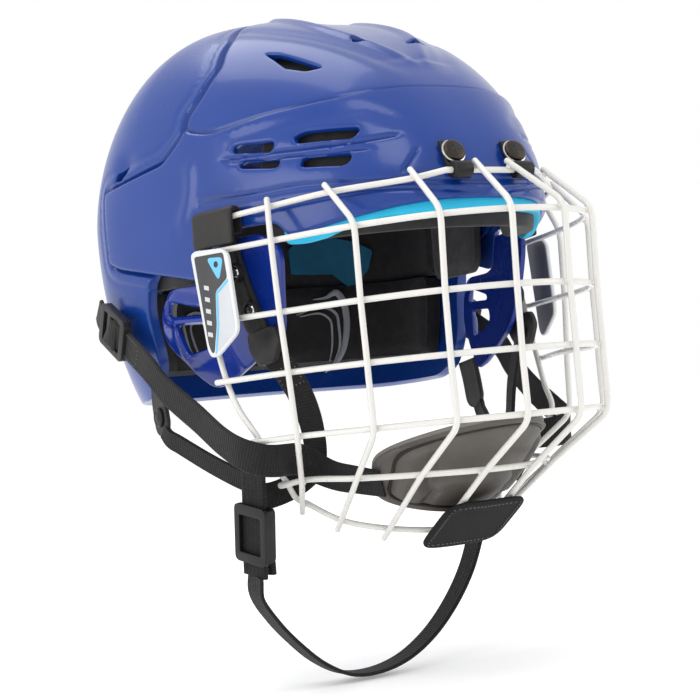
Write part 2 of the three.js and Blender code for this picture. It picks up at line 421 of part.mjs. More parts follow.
function patch(fn, nu, nv, thick) {
  // closed solid between fn(u,v) and fn(u,v) moved inwards by thick(u,v)
  const A = [], B = [], id = (i, j) => i * (nv + 1) + j, e = 1e-3;
  for (let i = 0; i <= nu; i++) for (let j = 0; j <= nv; j++) {
    const u = -1 + 2 * i / nu, v = j / nv, p = fn(u, v);
    const du = sub(fn(u + e, v), fn(u - e, v)), dv = sub(fn(u, v + e), fn(u, v - e));
    const n = norm(cross(du, dv)); A.push(p); B.push(addv(p, mul(n, thick(u, v))));
  }
  const m = A.length, t = [];
  for (let i = 0; i < nu; i++) for (let j = 0; j < nv; j++) {
    const a = id(i, j), b = id(i + 1, j), c = id(i + 1, j + 1), d = id(i, j + 1);
    t.push([a, b, c], [a, c, d]); t.push([m + a, m + c, m + b], [m + a, m + d, m + c]);
  }
  const rim = []; for (let i = 0; i <= nu; i++) rim.push(id(i, 0)); for (let j = 1; j <= nv; j++) rim.push(id(nu, j)); for (let i = nu - 1; i >= 0; i--) rim.push(id(i, nv)); for (let j = nv - 1; j > 0; j--) rim.push(id(0, j));
  for (let k = 0; k < rim.length; k++) { const a = rim[k], b = rim[(k + 1) % rim.length]; t.push([b, a, m + a], [b, m + a, m + b]); }
  return solid([...A, ...B], t);
}
const cupFn = (k, o = 0) => (u, v) => {
  const U = u * k;
  const x = 46 * U * (1 - 0.16 * v);
  const rim = [-136 + 46 * U * U + 10 * U ** 4, -113 - 9 * U * U];
  const bot = [-84 + 19 * U * U, -154.5 + 9 * U * U];
  const s = Math.sin(Math.PI * v) * 2.2;
  return [x, rim[0] + (bot[0] - rim[0]) * v - s * 0.61, rim[1] + (bot[1] - rim[1]) * v - s * 0.79];
};
// inner normal direction: towards the chin (+Y, +Z)
const cupT = (u, v) => -(3.4 + 2.2 * (1 - u ** 8) * Math.sin(Math.PI * Math.min(1, Math.max(0, v)) ) ** 0.5);
{
  const f = cupFn(1.0);
  const test = norm(cross(sub(f(0.01, 0.5), f(-0.01, 0.5)), sub(f(0, 0.51), f(0, 0.49))));
  const sgn = test[2] > 0 ? 1 : -1;              // make thickness point inwards
  add('chin_cup', patch(f, 18, 7, (u, v) => sgn * Math.abs(cupT(u, v))), 'cup');
  const inner = (u, v) => { const U = u * 0.8, W = 0.13 + 0.74 * v, p = f(U, W), e = 1e-3; const n = norm(cross(sub(f(U + e, W), f(U - e, W)), sub(f(U, W + e), f(U, W - e)))); return addv(p, mul(n, sgn * 6.2)); };
  const t2 = norm(cross(sub(inner(0.01, 0.5), inner(-0.01, 0.5)), sub(inner(0, 0.51), inner(0, 0.49))));
  add('chin_pad', patch(inner, 14, 5, (u, v) => (t2[2] > 0 ? 1 : -1) * (2.0 + 3.0 * Math.sqrt(Math.max(0, (1 - u * u) * Math.sin(Math.PI * v))))), 'foam');
}

// ---- straps ---------------------------------------------------------------
// chin-cup straps with their ladder-lock buckles and tabs (travel with the cage)
const cupStrap = [[-107.6, 46, -60], [-107, 23, -73], [-104.6, 11, -84], [-99.5, -14, -100], [-97, -36, -112.5], [-94, -49, -118.5], [-88, -55.6, -121.8], [-81, -54.8, -122.8], [-71, -48.6, -123], [-64, -45.4, -123.4], [-57, -45.6, -127.2], [-51.4, -52.5, -135.6]];
const cupN = [[-1, 0, 0], [-1, -0.03, -0.02], [-1, -0.06, -0.05], [-1, -0.12, -0.08], [-0.98, -0.2, -0.12], [-0.88, -0.45, -0.1], [-0.5, -0.86, -0.05], [0.1, -1, -0.05], [0.42, -0.91, -0.05], [0.1, -1, -0.1], [-0.6, -0.75, -0.2], [-0.85, -0.35, -0.3]];
const cs = band(cupStrap, cupN);
add('cup_strap_r', cs, 'web'); add('cup_strap_l', mirrorGeo(cs), 'web');
function frameBuckle(c, ax, up, w, h, t, bars) {
  // rectangular frame with cross bars; ax = width axis, up = height axis
  const s = new THREE.Shape(); const r = 2.6;
  s.moveTo(-w / 2 + r, -h / 2); s.lineTo(w / 2 - r, -h / 2); s.lineTo(w / 2, -h / 2 + r); s.lineTo(w / 2, h / 2 - r); s.lineTo(w / 2 - r, h / 2); s.lineTo(-w / 2 + r, h / 2); s.lineTo(-w / 2, h / 2 - r); s.lineTo(-w / 2, -h / 2 + r); s.closePath();
  for (const [y0, y1] of bars) { const p = new THREE.Path(); p.moveTo(-w / 2 + 2.4, y0); p.lineTo(-w / 2 + 2.4, y1); p.lineTo(w / 2 - 2.4, y1); p.lineTo(w / 2 - 2.4, y0); p.closePath(); s.holes.push(p); }
  const g = new THREE.ExtrudeGeometry(s, { depth: t, bevelEnabled: false });
  g.translate(0, 0, -t / 2);
  const A = norm(ax), U = norm(sub(up, mul(A, dot(up, A)))), N = cross(A, U);
  g.applyMatrix4(new THREE.Matrix4().set(A[0], U[0], N[0], c[0], A[1], U[1], N[1], c[1], A[2], U[2], N[2], c[2], 0, 0, 0, 1));
  return toGeo(toMan(g));
}
// ladder lock: body outboard of the strap end
const lockUp = norm([0, 39, 20]);
const lk = frameBuckle([-108.2, 60.5, -51.2], cross([-1, 0, 0], lockUp), lockUp, 22, 25, 4.2, [[-8.6, -3.2], [3.4, 8.8]]);
add('ladder_lock_r', lk, 'black'); add('ladder_lock_l', mirrorGeo(lk), 'black');
const tb = band([[-108.0, 74.2, -43.6], [-108.4, 77.2, -41.4], [-107.8, 80.0, -37]], [[-1, 0, 0], [-1, 0, 0], [-1, 0.1, 0]], 13, 2, 2);
add('lock_tab_r', tb, 'black'); add('lock_tab_l', mirrorGeo(tb), 'black');

// rear legs of the chin strap, from snap tabs below the shell edge
const snapTab = band([[-95.2, 40, -80], [-96, 38.5, -90], [-96, 36.5, -101.5]], [[-1, 0, 0], [-1, 0, 0], [-1, 0, 0]], 16, 2.4, 2);
add('leg_snap_r', snapTab, 'black'); add('leg_snap_l', mirrorGeo(snapTab), 'black');
const rl = band([[-95.6, 32.4, -107.5], [-93.5, 24, -111.5], [-88.5, 1, -122], [-84, -18, -129.5]], [[-1, 0, 0], [-1, -0.05, 0], [-1, -0.1, 0], [-1, -0.2, 0]], 9, 2.2, 3);
add('rear_leg_r', rl, 'web');
const rlL = band([[95.6, 32.4, -107.5], [91, 22, -113], [82, 4, -122.5], [76, -10, -129]], [[1, 0, 0], [1, -0.05, 0], [1, -0.1, 0], [1, -0.2, 0]], 9, 2.2, 3);
add('rear_leg_l', rlL, 'web');
// front legs from the ear guards
const fl = band([[-73.4, -44, -64], [-72.4, -46, -73], [-67, -46.5, -81], [-58.5, -44.5, -95], [-52, -40.5, -112], [-50.5, -36, -126], [-56, -24.5, -136], [-66, -19.5, -140], [-74.5, -20.5, -140]], [[-1, -0.4, 0], [-0.9, -0.6, 0], [-0.8, -0.6, 0.2], [-0.8, -0.6, 0.2], [-0.9, -0.5, 0.1], [-0.9, -0.4, -0.2], [-0.4, -0.8, -0.3], [0, -1, -0.2], [0.2, -1, -0.2]], 12, 1.6, 3);
add('front_leg_r', fl, 'web');
const flL = band([[73.4, -45.0, -66.5], [73.6, -38.5, -79], [73.5, -31, -96], [72.5, -27.5, -115], [70.8, -24, -130]], [[1, -0.5, 0], [1, -0.5, 0], [1, -0.4, 0], [1, -0.4, 0], [1, -0.4, 0]], 12, 1.6, 3);
add('front_leg_l', flL, 'web');
// ribbed drop on the wearer's right, slider over it
const drop = [[-81.4, -31.5, -131.5], [-80.6, -28.5, -142], [-79.6, -23.5, -159.5], [-78.8, -20.0, -176]];
add('ribbed_drop_r', band(drop, [[-0.95, -0.3, 0], [-0.95, -0.3, 0], [-0.95, -0.3, 0], [-0.95, -0.3, 0]], 15, 2.0, 2), 'web');
const dUp = norm(sub(drop[1], drop[3])), dN = norm([-0.95, -0.3, 0]);
const dNn = norm(sub(dN, mul(dUp, dot(dN, dUp)))), dAx = cross(dUp, dNn);
{
  // closed box slider with a slot for the strap
  const c = lerp(drop[1], drop[3], 0.44);
  const mk = (w, h, t, off = 0) => { const g = new THREE.BoxGeometry(w, h, t); g.applyMatrix4(new THREE.Matrix4().set(dAx[0], dUp[0], dNn[0], c[0] + dNn[0] * off, dAx[1], dUp[1], dNn[1], c[1] + dNn[1] * off, dAx[2], dUp[2], dNn[2], c[2] + dNn[2] * off, 0, 0, 0, 1)); return toMan(g); };
  let m = mk(21, 30, 8).subtract(mk(16.2, 34, 3.6));
  m = m.subtract(mk(13.5, 7, 6, 4.8).translate([dUp[0] * 7.5, dUp[1] * 7.5, dUp[2] * 7.5]));
  m = m.subtract(mk(13.5, 7, 6, 4.8).translate([-dUp[0] * 7.5, -dUp[1] * 7.5, -dUp[2] * 7.5]));
  add('strap_slider', toGeo(m), 'black');
}
// hanging loop under the chin
const loop = [[-78.6, -19.2, -178.2], [-77.9, -16.9, -187.6], [-70.5, -17.5, -200.5], [-59.5, -17, -213], [-46, -15, -224.5], [-30, -13, -232.5], [-13, -12.5, -233.6], [4, -12.5, -229.5], [20, -13, -220], [34, -14, -206], [44.5, -15.5, -190], [51, -17.5, -173], [57, -19, -156], [63.5, -20.5, -140]];
const loopN = loop.map((p, i) => { const a = loop[Math.max(i - 1, 0)], b = loop[Math.min(i + 1, loop.length - 1)], T = norm(sub(b, a)); return norm(cross(T, [0.05, 1, 0])); });
add('strap_loop', band(loop, loopN.map((n) => n), 15, 1.6, 2), 'web');
const tail = band([[-71.2, -20.6, -164], [-70.4, -20, -171], [-70.2, -19.6, -178]], [[-0.95, -0.3, 0], [-0.95, -0.3, 0], [-0.95, -0.3, 0]], 4, 3.0, 2);
add('strap_tail_r', tail, 'web');

export default group;
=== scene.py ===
import bpy, bmesh, math
import numpy as np
from mathutils import Vector, Matrix
from mathutils.geometry import delaunay_2d_cdt, tessellate_polygon


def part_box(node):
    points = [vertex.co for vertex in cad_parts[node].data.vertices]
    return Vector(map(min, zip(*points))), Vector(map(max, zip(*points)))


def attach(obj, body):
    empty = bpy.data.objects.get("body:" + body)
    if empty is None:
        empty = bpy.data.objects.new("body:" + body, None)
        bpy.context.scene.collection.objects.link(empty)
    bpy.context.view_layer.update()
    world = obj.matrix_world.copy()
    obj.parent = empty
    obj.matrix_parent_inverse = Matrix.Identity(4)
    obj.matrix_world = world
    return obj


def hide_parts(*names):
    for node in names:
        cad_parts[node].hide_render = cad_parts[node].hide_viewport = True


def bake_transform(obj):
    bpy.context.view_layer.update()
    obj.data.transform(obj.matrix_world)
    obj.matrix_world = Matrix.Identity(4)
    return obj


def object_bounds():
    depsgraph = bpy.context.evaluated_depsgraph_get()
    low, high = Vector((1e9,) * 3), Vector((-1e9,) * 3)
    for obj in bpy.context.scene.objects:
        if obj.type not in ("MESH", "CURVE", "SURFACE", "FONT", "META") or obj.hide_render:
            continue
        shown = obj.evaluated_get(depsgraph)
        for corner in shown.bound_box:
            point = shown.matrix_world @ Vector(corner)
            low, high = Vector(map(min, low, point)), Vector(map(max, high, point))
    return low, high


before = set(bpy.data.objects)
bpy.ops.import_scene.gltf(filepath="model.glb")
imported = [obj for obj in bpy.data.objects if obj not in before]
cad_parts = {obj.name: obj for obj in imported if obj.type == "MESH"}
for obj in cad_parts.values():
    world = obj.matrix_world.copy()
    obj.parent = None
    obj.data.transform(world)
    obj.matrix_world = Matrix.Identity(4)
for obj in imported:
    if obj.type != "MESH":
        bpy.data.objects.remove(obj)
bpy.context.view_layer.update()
MM = 0.001

# ------------------------------------------------------------------ camera
CAM = np.array([-403.95, -691.69, -104.12])
CR = np.array([0.86415, -0.495051, -0.090383]); CU = np.array([0.058005, -0.080421, 0.995072]); CD = np.array([0.49988, 0.865134, 0.04078])
cam = bpy.data.cameras.new("cam"); co = bpy.data.objects.new("cam", cam); bpy.context.scene.collection.objects.link(co)
m = Matrix(((CR[0], CU[0], -CD[0], CAM[0] * MM), (CR[1], CU[1], -CD[1], CAM[1] * MM), (CR[2], CU[2], -CD[2], CAM[2] * MM), (0, 0, 0, 1)))
co.matrix_world = m
cam.sensor_width = 36.0; cam.sensor_fit = "HORIZONTAL"; cam.lens = 1546.76 * 36.0 / 700.0
cam.clip_start = 0.01; cam.clip_end = 400
bpy.context.scene.camera = co
bpy.context.scene.view_settings.view_transform = "Standard"
bpy.context.scene.view_settings.look = "None"

# ------------------------------------------------------------------ materials
def nodes_of(mat):
    mat.use_nodes = True
    nt = mat.node_tree
    return nt, nt.nodes["Principled BSDF"]

def material(name, color, rough=0.5, metallic=0.0, var=0.08, var_scale=40.0, bump=0.05, bump_scale=900.0, rough_var=0.08, coat=0.0, coat_rough=0.05, sheen=0.0, spec=0.5, trans=0.0, fine=None):
    mt = bpy.data.materials.new(name)
    nt, bs = nodes_of(mt)
    N, L = nt.nodes, nt.links
    tc = N.new("ShaderNodeTexCoord")
    n1 = N.new("ShaderNodeTexNoise"); n1.inputs["Scale"].default_value = var_scale; n1.inputs["Detail"].default_value = 4.0
    L.new(tc.outputs["Object"], n1.inputs["Vector"])
    ramp = N.new("ShaderNodeValToRGB")
    c = np.array(color)
    ramp.color_ramp.elements[0].position = 0.3; ramp.color_ramp.elements[1].position = 0.7
    ramp.color_ramp.elements[0].color = (*np.clip(c * (1 - var), 0, 1), 1)
    ramp.color_ramp.elements[1].color = (*np.clip(c * (1 + var), 0, 1), 1)
    L.new(n1.outputs["Fac"], ramp.inputs["Fac"])
    L.new(ramp.outputs["Color"], bs.inputs["Base Color"])
    mr = N.new("ShaderNodeMapRange"); mr.inputs["To Min"].default_value = max(0.02, rough - rough_var); mr.inputs["To Max"].default_value = min(1, rough + rough_var)
    n2 = N.new("ShaderNodeTexNoise"); n2.inputs["Scale"].default_value = var_scale * 3.1; n2.inputs["Detail"].default_value = 3.0
    L.new(tc.outputs["Object"], n2.inputs["Vector"]); L.new(n2.outputs["Fac"], mr.inputs["Value"]); L.new(mr.outputs["Result"], bs.inputs["Roughness"])
    nb = N.new("ShaderNodeTexNoise"); nb.inputs["Scale"].default_value = bump_scale; nb.inputs["Detail"].default_value = 2.0
    L.new(tc.outputs["Object"], nb.inputs["Vector"])
    bp = N.new("ShaderNodeBump"); bp.inputs["Strength"].default_value = bump; bp.inputs["Distance"].default_value = 0.0004
    L.new(nb.outputs["Fac"], bp.inputs["Height"]); L.new(bp.outputs["Normal"], bs.inputs["Normal"])
    bs.inputs["Metallic"].default_value = metallic
    bs.inputs["Coat Weight"].default_value = coat; bs.inputs["Coat Roughness"].default_value = coat_rough
    bs.inputs["Sheen Weight"].default_value = sheen
    bs.inputs["Specular IOR Level"].default_value = spec
    bs.inputs["Transmission Weight"].default_value = trans
    return mt

def webbing(name, color, rib=1.0, across=0.5, depth=0.5):
    """woven strap: ribs along the length from the strap's own millimetre coordinates"""
    mt = bpy.data.materials.new(name)
    nt, bs = nodes_of(mt); N, L = nt.nodes, nt.links
    uv = N.new("ShaderNodeUVMap"); uv.uv_map = "strap"
    sep = N.new("ShaderNodeSeparateXYZ"); L.new(uv.outputs["UV"], sep.inputs["Vector"])
    def sine(sock, period, phase=0.0):
        a = N.new("ShaderNodeMath"); a.operation = "MULTIPLY_ADD"; a.inputs[1].default_value = 2 * math.pi / period; a.inputs[2].default_value = phase; L.new(sock, a.inputs[0])
        s = N.new("ShaderNodeMath"); s.operation = "SINE"; L.new(a.outputs[0], s.inputs[0]); return s.outputs[0]
    s1 = sine(sep.outputs["Y"], rib); s2 = sine(sep.outputs["X"], across)
    mul = N.new("ShaderNodeMath"); mul.operation = "MULTIPLY_ADD"; mul.inputs[1].default_value = 0.45
    L.new(s2, mul.inputs[0]); L.new(s1, mul.inputs[2])
    mr = N.new("ShaderNodeMapRange"); mr.inputs["From Min"].default_value = -1.45; mr.inputs["From Max"].default_value = 1.45; L.new(mul.outputs[0], mr.inputs["Value"])
    tc = N.new("ShaderNodeTexCoord"); nz = N.new("ShaderNodeTexNoise"); nz.inputs["Scale"].default_value = 260; nz.inputs["Detail"].default_value = 4; L.new(tc.outputs["Object"], nz.inputs["Vector"])
    # base colour follows the rib height scaled by random noise: darker in the weave troughs and lighter on the crests,
    # which is painted shade and painted highlight mixed with random tone
    mx = N.new("ShaderNodeMix"); mx.data_type = "RGBA"; mx.inputs[6].default_value = (*[x * 0.55 for x in color], 1); mx.inputs[7].default_value = (*[min(1, x * 1.6) for x in color], 1)
    ad = N.new("ShaderNodeMath"); ad.operation = "MULTIPLY"; L.new(mr.outputs[0], ad.inputs[0]); L.new(nz.outputs["Fac"], ad.inputs[1])
    ad2 = N.new("ShaderNodeMath"); ad2.operation = "MULTIPLY"; ad2.inputs[1].default_value = 1.7; L.new(ad.outputs[0], ad2.inputs[0])
    L.new(ad2.outputs[0], mx.inputs[0]); L.new(mx.outputs[2], bs.inputs["Base Color"])
    bp = N.new("ShaderNodeBump"); bp.inputs["Strength"].default_value = depth; bp.inputs["Distance"].default_value = 0.0004; L.new(mr.outputs[0], bp.inputs["Height"]); L.new(bp.outputs["Normal"], bs.inputs["Normal"])
    bs.inputs["Roughness"].default_value = 0.72; bs.inputs["Sheen Weight"].default_value = 0.05; bs.inputs["Specular IOR Level"].default_value = 0.22
    return mt

def lin(r, g, b):
    f = lambda v: (v / 255) / 12.92 if v / 255 <= 0.04045 else ((v / 255 + 0.055) / 1.055) ** 2.4
    return (f(r), f(g), f(b))

M_SHELL = material("shell_gloss_blue", lin(14, 54, 132), rough=0.25, var=0.035, var_scale=18, bump=0.035, bump_scale=420, rough_var=0.04, coat=0.22, coat_rough=0.08, spec=0.34)
M_REAR = material("rear_gloss_blue", lin(14, 55, 132), rough=0.27, var=0.035, var_scale=18, bump=0.035, bump_scale=420, rough_var=0.04, coat=0.18, coat_rough=0.1, spec=0.34)
M_EAR = material("ear_blue", lin(9, 42, 132), rough=0.26, var=0.05, var_scale=25, bump=0.03, bump_scale=500, rough_var=0.05, coat=0.3, coat_rough=0.08, spec=0.36)
M_CYAN = material("liner_cyan_foam", lin(16, 176, 214), rough=0.6, var=0.06, var_scale=60, bump=0.2, bump_scale=1600, rough_var=0.06)
M_TEAL = material("foam_deep_teal", lin(4, 92, 122), rough=0.7, var=0.14, var_scale=70, bump=0.35, bump_scale=1300, rough_var=0.08)
M_FOAM = material("foam_black_knit", lin(38, 37, 38), rough=0.86, var=0.22, var_scale=160, bump=0.5, bump_scale=2400, rough_var=0.08, sheen=0.15, spec=0.25)
M_FOAM2 = material("foam_charcoal", lin(66, 65, 66), rough=0.85, var=0.2, var_scale=150, bump=0.5, bump_scale=2400, rough_var=0.08, sheen=0.1, spec=0.25)
M_WIRE = material("wire_warm_white", lin(213, 211, 206), rough=0.28, var=0.015, var_scale=60, bump=0.02, bump_scale=700, rough_var=0.03, coat=0.35, coat_rough=0.12)
M_BLACK = material("moulded_black", lin(33, 31, 30), rough=0.5, var=0.12, var_scale=90, bump=0.12, bump_scale=1800, rough_var=0.09, spec=0.34)
M_FLAP = material("flap_black_nylon", lin(17, 17, 18), rough=0.7, var=0.2, var_scale=300, bump=0.35, bump_scale=2600, rough_var=0.08, sheen=0.0, spec=0.2)
M_SATIN = material("satin_black", lin(22, 21, 21), rough=0.42, var=0.1, var_scale=60, bump=0.06, bump_scale=1200, rough_var=0.08, spec=0.3)
M_SCREW = material("screw_black", lin(60, 54, 48), rough=0.34, metallic=0.85, var=0.15, var_scale=300, bump=0.12, bump_scale=2500, rough_var=0.1)
M_CHROME = material("screw_chrome", lin(205, 203, 198), rough=0.16, metallic=1.0, var=0.05, var_scale=200, bump=0.04, bump_scale=1500, rough_var=0.06)
M_CUP = material("cup_grey", lin(84, 80, 76), rough=0.55, var=0.1, var_scale=70, bump=0.18, bump_scale=1500, rough_var=0.1, spec=0.45)
M_CUP2 = material("cup_inner_grey", lin(112, 108, 104), rough=0.7, var=0.12, var_scale=90, bump=0.3, bump_scale=2000, rough_var=0.1)
M_PLATE = material("plate_white", lin(206, 207, 209), rough=0.35, var=0.02, var_scale=60, bump=0.03, bump_scale=800, rough_var=0.06, coat=0.2)
M_CHAR = material("print_charcoal", lin(48, 48, 50), rough=0.42, var=0.06, var_scale=200, bump=0.04, bump_scale=1200, rough_var=0.06)
M_PALE = material("print_pale_grey", lin(190, 193, 197), rough=0.42, var=0.03, var_scale=120, bump=0.03, bump_scale=1000, rough_var=0.06)
M_BACK = material("plate_back_grey", lin(112, 113, 116), rough=0.45, var=0.05, var_scale=90, bump=0.05, bump_scale=900, rough_var=0.07)
M_SKY = material("print_sky_blue", lin(96, 182, 232), rough=0.4, var=0.04, var_scale=150, bump=0.03, bump_scale=1000, rough_var=0.06)
# used for the printed dot on the side plates, and also for the dark screw and snap slots, where it is painted shade
M_INK_AND_SLOT_SHADE = material("print_ink_and_painted_slot_shade", lin(24, 30, 40), rough=0.45, var=0.05, var_scale=150, bump=0.03, bump_scale=1000, rough_var=0.05)
M_CHEV = material("chevron_grey", lin(150, 152, 156), rough=0.5, var=0.06, var_scale=120, bump=0.05, bump_scale=1200, rough_var=0.06)
M_WEB = webbing("webbing_black", lin(27, 26, 26), rib=1.5, across=1.1, depth=0.65)
M_RIB = webbing("webbing_ribbed", lin(25, 24, 24), rib=1.15, across=2.6, depth=0.95)
M_THREAD = material("thread_grey", lin(96, 94, 92), rough=0.7, var=0.1, var_scale=400, bump=0.2, bump_scale=3000)

# ------------------------------------------------------------------ mesh helpers
def make(name, verts, faces, mat, body, rep=(), smooth=35, uv=None, mats=None, fmat=None):
    me = bpy.data.meshes.new(name)
    me.from_pydata([tuple(v) for v in np.asarray(verts, float) * MM], [], [tuple(int(i) for i in f) for f in faces])
    me.validate(clean_customdata=False)
    bm = bmesh.new(); bm.from_mesh(me); bmesh.ops.recalc_face_normals(bm, faces=bm.faces); bm.to_mesh(me); bm.free()
    ob = bpy.data.objects.new(name, me); bpy.context.scene.collection.objects.link(ob)
    for mt in (mats or [mat]): me.materials.append(mt)
    if fmat is not None: me.polygons.foreach_set("material_index", np.asarray(fmat, np.int32))
    me.polygons.foreach_set("use_smooth", [True] * len(me.polygons))
    me.set_sharp_from_angle(angle=math.radians(smooth))
    if uv is not None:
        lay = me.uv_layers.new(name="strap")
        li = np.zeros(len(me.loops), np.int32); me.loops.foreach_get("vertex_index", li)
        lay.data.foreach_set("uv", np.asarray(uv, np.float32)[li].ravel())
    finish_piece(ob, body, rep)
    return ob

def finish_piece(ob, body, rep=()):
    if body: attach(ob, body)
    if rep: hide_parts(*rep)

def unit(a):
    a = np.asarray(a, float); n = np.linalg.norm(a, axis=-1, keepdims=True); return a / np.where(n == 0, 1, n)

def catmull(P, per):
    P = np.asarray(P, float); n = len(P); out = []
    E = np.vstack([2 * P[0] - P[1], P, 2 * P[-1] - P[-2]])
    for i in range(1, n):
        p0, p1, p2, p3 = E[i - 1], E[i], E[i + 1], E[i + 2]
        d = [max(np.linalg.norm(b - a) ** 0.5, 1e-4) for a, b in ((p0, p1), (p1, p2), (p2, p3))]
        m1 = (p1 - p0) / d[0] - (p2 - p0) / (d[0] + d[1]) + (p2 - p1) / d[1]
        m2 = (p2 - p1) / d[1] - (p3 - p1) / (d[1] + d[2]) + (p3 - p2) / d[2]
        m1 *= d[1]; m2 *= d[1]
        for k in range(per):
            t = k / per
            out.append((2 * t**3 - 3 * t**2 + 1) * p1 + (t**3 - 2 * t**2 + t) * m1 + (-2 * t**3 + 3 * t**2) * p2 + (t**3 - t**2) * m2)
    out.append(P[-1]); return np.array(out)

def resample(P, step):
    P = np.asarray(P, float); s = np.r_[0, np.cumsum(np.linalg.norm(np.diff(P, axis=0), axis=1))]
    n = max(2, int(round(s[-1] / step)) + 1); t = np.linspace(0, s[-1], n)
    return np.stack([np.interp(t, s, P[:, k]) for k in range(P.shape[1])], 1)

def frames(P, ref=None):
    T = unit(np.gradient(P, axis=0)); U = np.zeros_like(P)
    u = np.cross(T[0], [0, 0, 1] if abs(T[0][2]) < 0.8 else [1, 0, 0]); u = u / np.linalg.norm(u)
    for i in range(len(P)):
        u = u - T[i] * (u @ T[i]); u /= np.linalg.norm(u); U[i] = u
    return T, U, np.cross(T, U)

def sweep_faces(n, k, close=False):
    F = []
    for i in range(n - 1):
        for j in range(k):
            F.append((i * k + j, i * k + (j + 1) % k, (i + 1) * k + (j + 1) % k, (i + 1) * k + j))
    return F

def tube_geo(P, r, sides=14, dome=True):
    """round wire with rounded ends"""
    P = resample(P, max(r * 0.8, 1.1)); T, U, W = frames(P)
    rr = np.full(len(P), r)
    if dome:
        ks = [0.0, 0.38, 0.72, 0.93]
        Pa, Ta, Ua, Wa, ra = [], [], [], [], []
        for k in ks: Pa.append(P[0] - T[0] * r * (1 - k) * 0.75); ra.append(r * math.sqrt(max(0.02, 1 - (1 - k) ** 2))); Ta.append(T[0]); Ua.append(U[0]); Wa.append(W[0])
        Pb, rb = [], []
        for k in ks[::-1]: Pb.append(P[-1] + T[-1] * r * (1 - k) * 0.75); rb.append(r * math.sqrt(max(0.02, 1 - (1 - k) ** 2)))
        P = np.vstack([Pa, P, Pb]); rr = np.r_[ra, rr, rb]
        U = np.vstack([Ua, U, [U[-1]] * 4]); W = np.vstack([Wa, W, [W[-1]] * 4])
    a = np.linspace(0, 2 * np.pi, sides, endpoint=False)
    V = (P[:, None] + rr[:, None, None] * (np.cos(a)[None, :, None] * U[:, None] + np.sin(a)[None, :, None] * W[:, None])).reshape(-1, 3)
    F = sweep_faces(len(P), sides); n = len(P)
    F.append(tuple(range(sides))[::-1]); F.append(tuple((n - 1) * sides + j for j in range(sides)))
    return V, F

def merge(parts):
    V, F, o = [], [], 0
    for v, f in parts:
        V.append(np.asarray(v)); F += [tuple(i + o for i in q) for q in f]; o += len(v)
    return np.vstack(V), F

def mirror(P):
    P = np.array(P, float); P[..., 0] *= -1; return P

def blob(c, r, squash=(1, 1, 1), n=10):
    V, F = [], []
    for i in range(n // 2 + 1):
        th = np.pi * i / (n // 2)
        for j in range(n):
            ph = 2 * np.pi * j / n
            V.append(np.array([np.sin(th) * np.cos(ph), np.sin(th) * np.sin(ph), np.cos(th)]) * r * np.array(squash) + c)
    for i in range(n // 2):
        for j in range(n):
            F.append((i * n + j, i * n + (j + 1) % n, (i + 1) * n + (j + 1) % n, (i + 1) * n + j))
    return np.array(V), F

# ------------------------------------------------------------------ dome
YC, AX, AF, AB, AU, AD = 42.23, 100.84, 172.98, 88.55, 107.11, 150.0
PF, PB, PX, TAU, EG = 1.737, 1.793, 2.807, 0.0941, 0.0019757
def yzn(y, z):
    ay = np.where(y < 0, AF, AB); pp = np.where(y < 0, PF, PB); az = np.where(z > 0, AU, AD)
    return (np.abs(y / ay) ** pp + np.abs(z / az) ** pp) ** (1 / pp)
def dome_dir(D, off=0.0):
    D = unit(D); q = yzn(D[..., 1], D[..., 2])
    R = (np.abs(D[..., 0] / AX) ** PX + q ** PX) ** (-1 / PX) + off
    x = R * D[..., 0]; y = R * D[..., 1]; z = R * D[..., 2]; x = x * (1 + EG * y)
    c, s = math.cos(TAU), math.sin(TAU)
    return np.stack([x, c * y - s * z + YC, s * y + c * z], -1)
def bg_dir(b, g):
    b, g = np.radians(b), np.radians(g)
    return np.stack([np.sin(g), -np.cos(g) * np.cos(b), np.cos(g) * np.sin(b)], -1)
def side_dir(yz, side=1):
    """direction of the surface point above a side-view position; x = 0 outside the silhouette"""
    yz = np.atleast_2d(np.asarray(yz, float)); c, s = math.cos(TAU), math.sin(TAU)
    y = c * (yz[:, 0] - YC) + s * yz[:, 1]; z = -s * (yz[:, 0] - YC) + c * yz[:, 1]
    q = yzn(y, z); x = AX * np.maximum(0, 1 - q ** PX) ** (1 / PX)
    return unit(np.stack([side * x, y, z], 1)), q
def dome_normal(D, off=0.0):
    D = unit(D); a = unit(np.cross(D, np.where(np.abs(D[..., 2:3]) < 0.9, np.array([0, 0, 1.0]), np.array([1.0, 0, 0])))); b = np.cross(D, a); e = 1e-3
    n = np.cross(dome_dir(D + a * e, off) - dome_dir(D - a * e, off), dome_dir(D + b * e, off) - dome_dir(D - b * e, off))
    n = unit(n); s = np.sign((n * D).sum(-1, keepdims=True)); return n * s

def inv_dir(P):
    P = np.asarray(P, float); c, s_ = math.cos(TAU), math.sin(TAU)
    y = c * (P[:, 1] - YC) + s_ * P[:, 2]; z = -s_ * (P[:, 1] - YC) + c * P[:, 2]; x = P[:, 0] / (1 + EG * y); return unit(np.stack([x, y, z], 1))

class Chart:
    def __init__(self, c):
        self.c = unit(np.array(c, float)); e = np.cross([0, 0, 1.0] if abs(self.c[2]) < 0.9 else [1.0, 0, 0], self.c); self.e1 = unit(e); self.e2 = np.cross(self.c, self.e1)
    def uv(self, D):
        D = unit(D); r = np.arccos(np.clip(D @ self.c, -1, 1)); a = D @ self.e1; b = D @ self.e2; h = np.hypot(a, b); h = np.where(h < 1e-9, 1, h)
        return np.stack([100 * r * a / h, 100 * r * b / h], -1)
    def dir(self, uv):
        uv = np.asarray(uv, float); r = np.hypot(uv[..., 0], uv[..., 1]) / 100; h = np.where(r < 1e-9, 1, r * 100)
        return unit(np.cos(r)[..., None] * self.c + np.sin(r)[..., None] * ((uv[..., :1] / h[..., None]) * self.e1 + (uv[..., 1:] / h[..., None]) * self.e2))

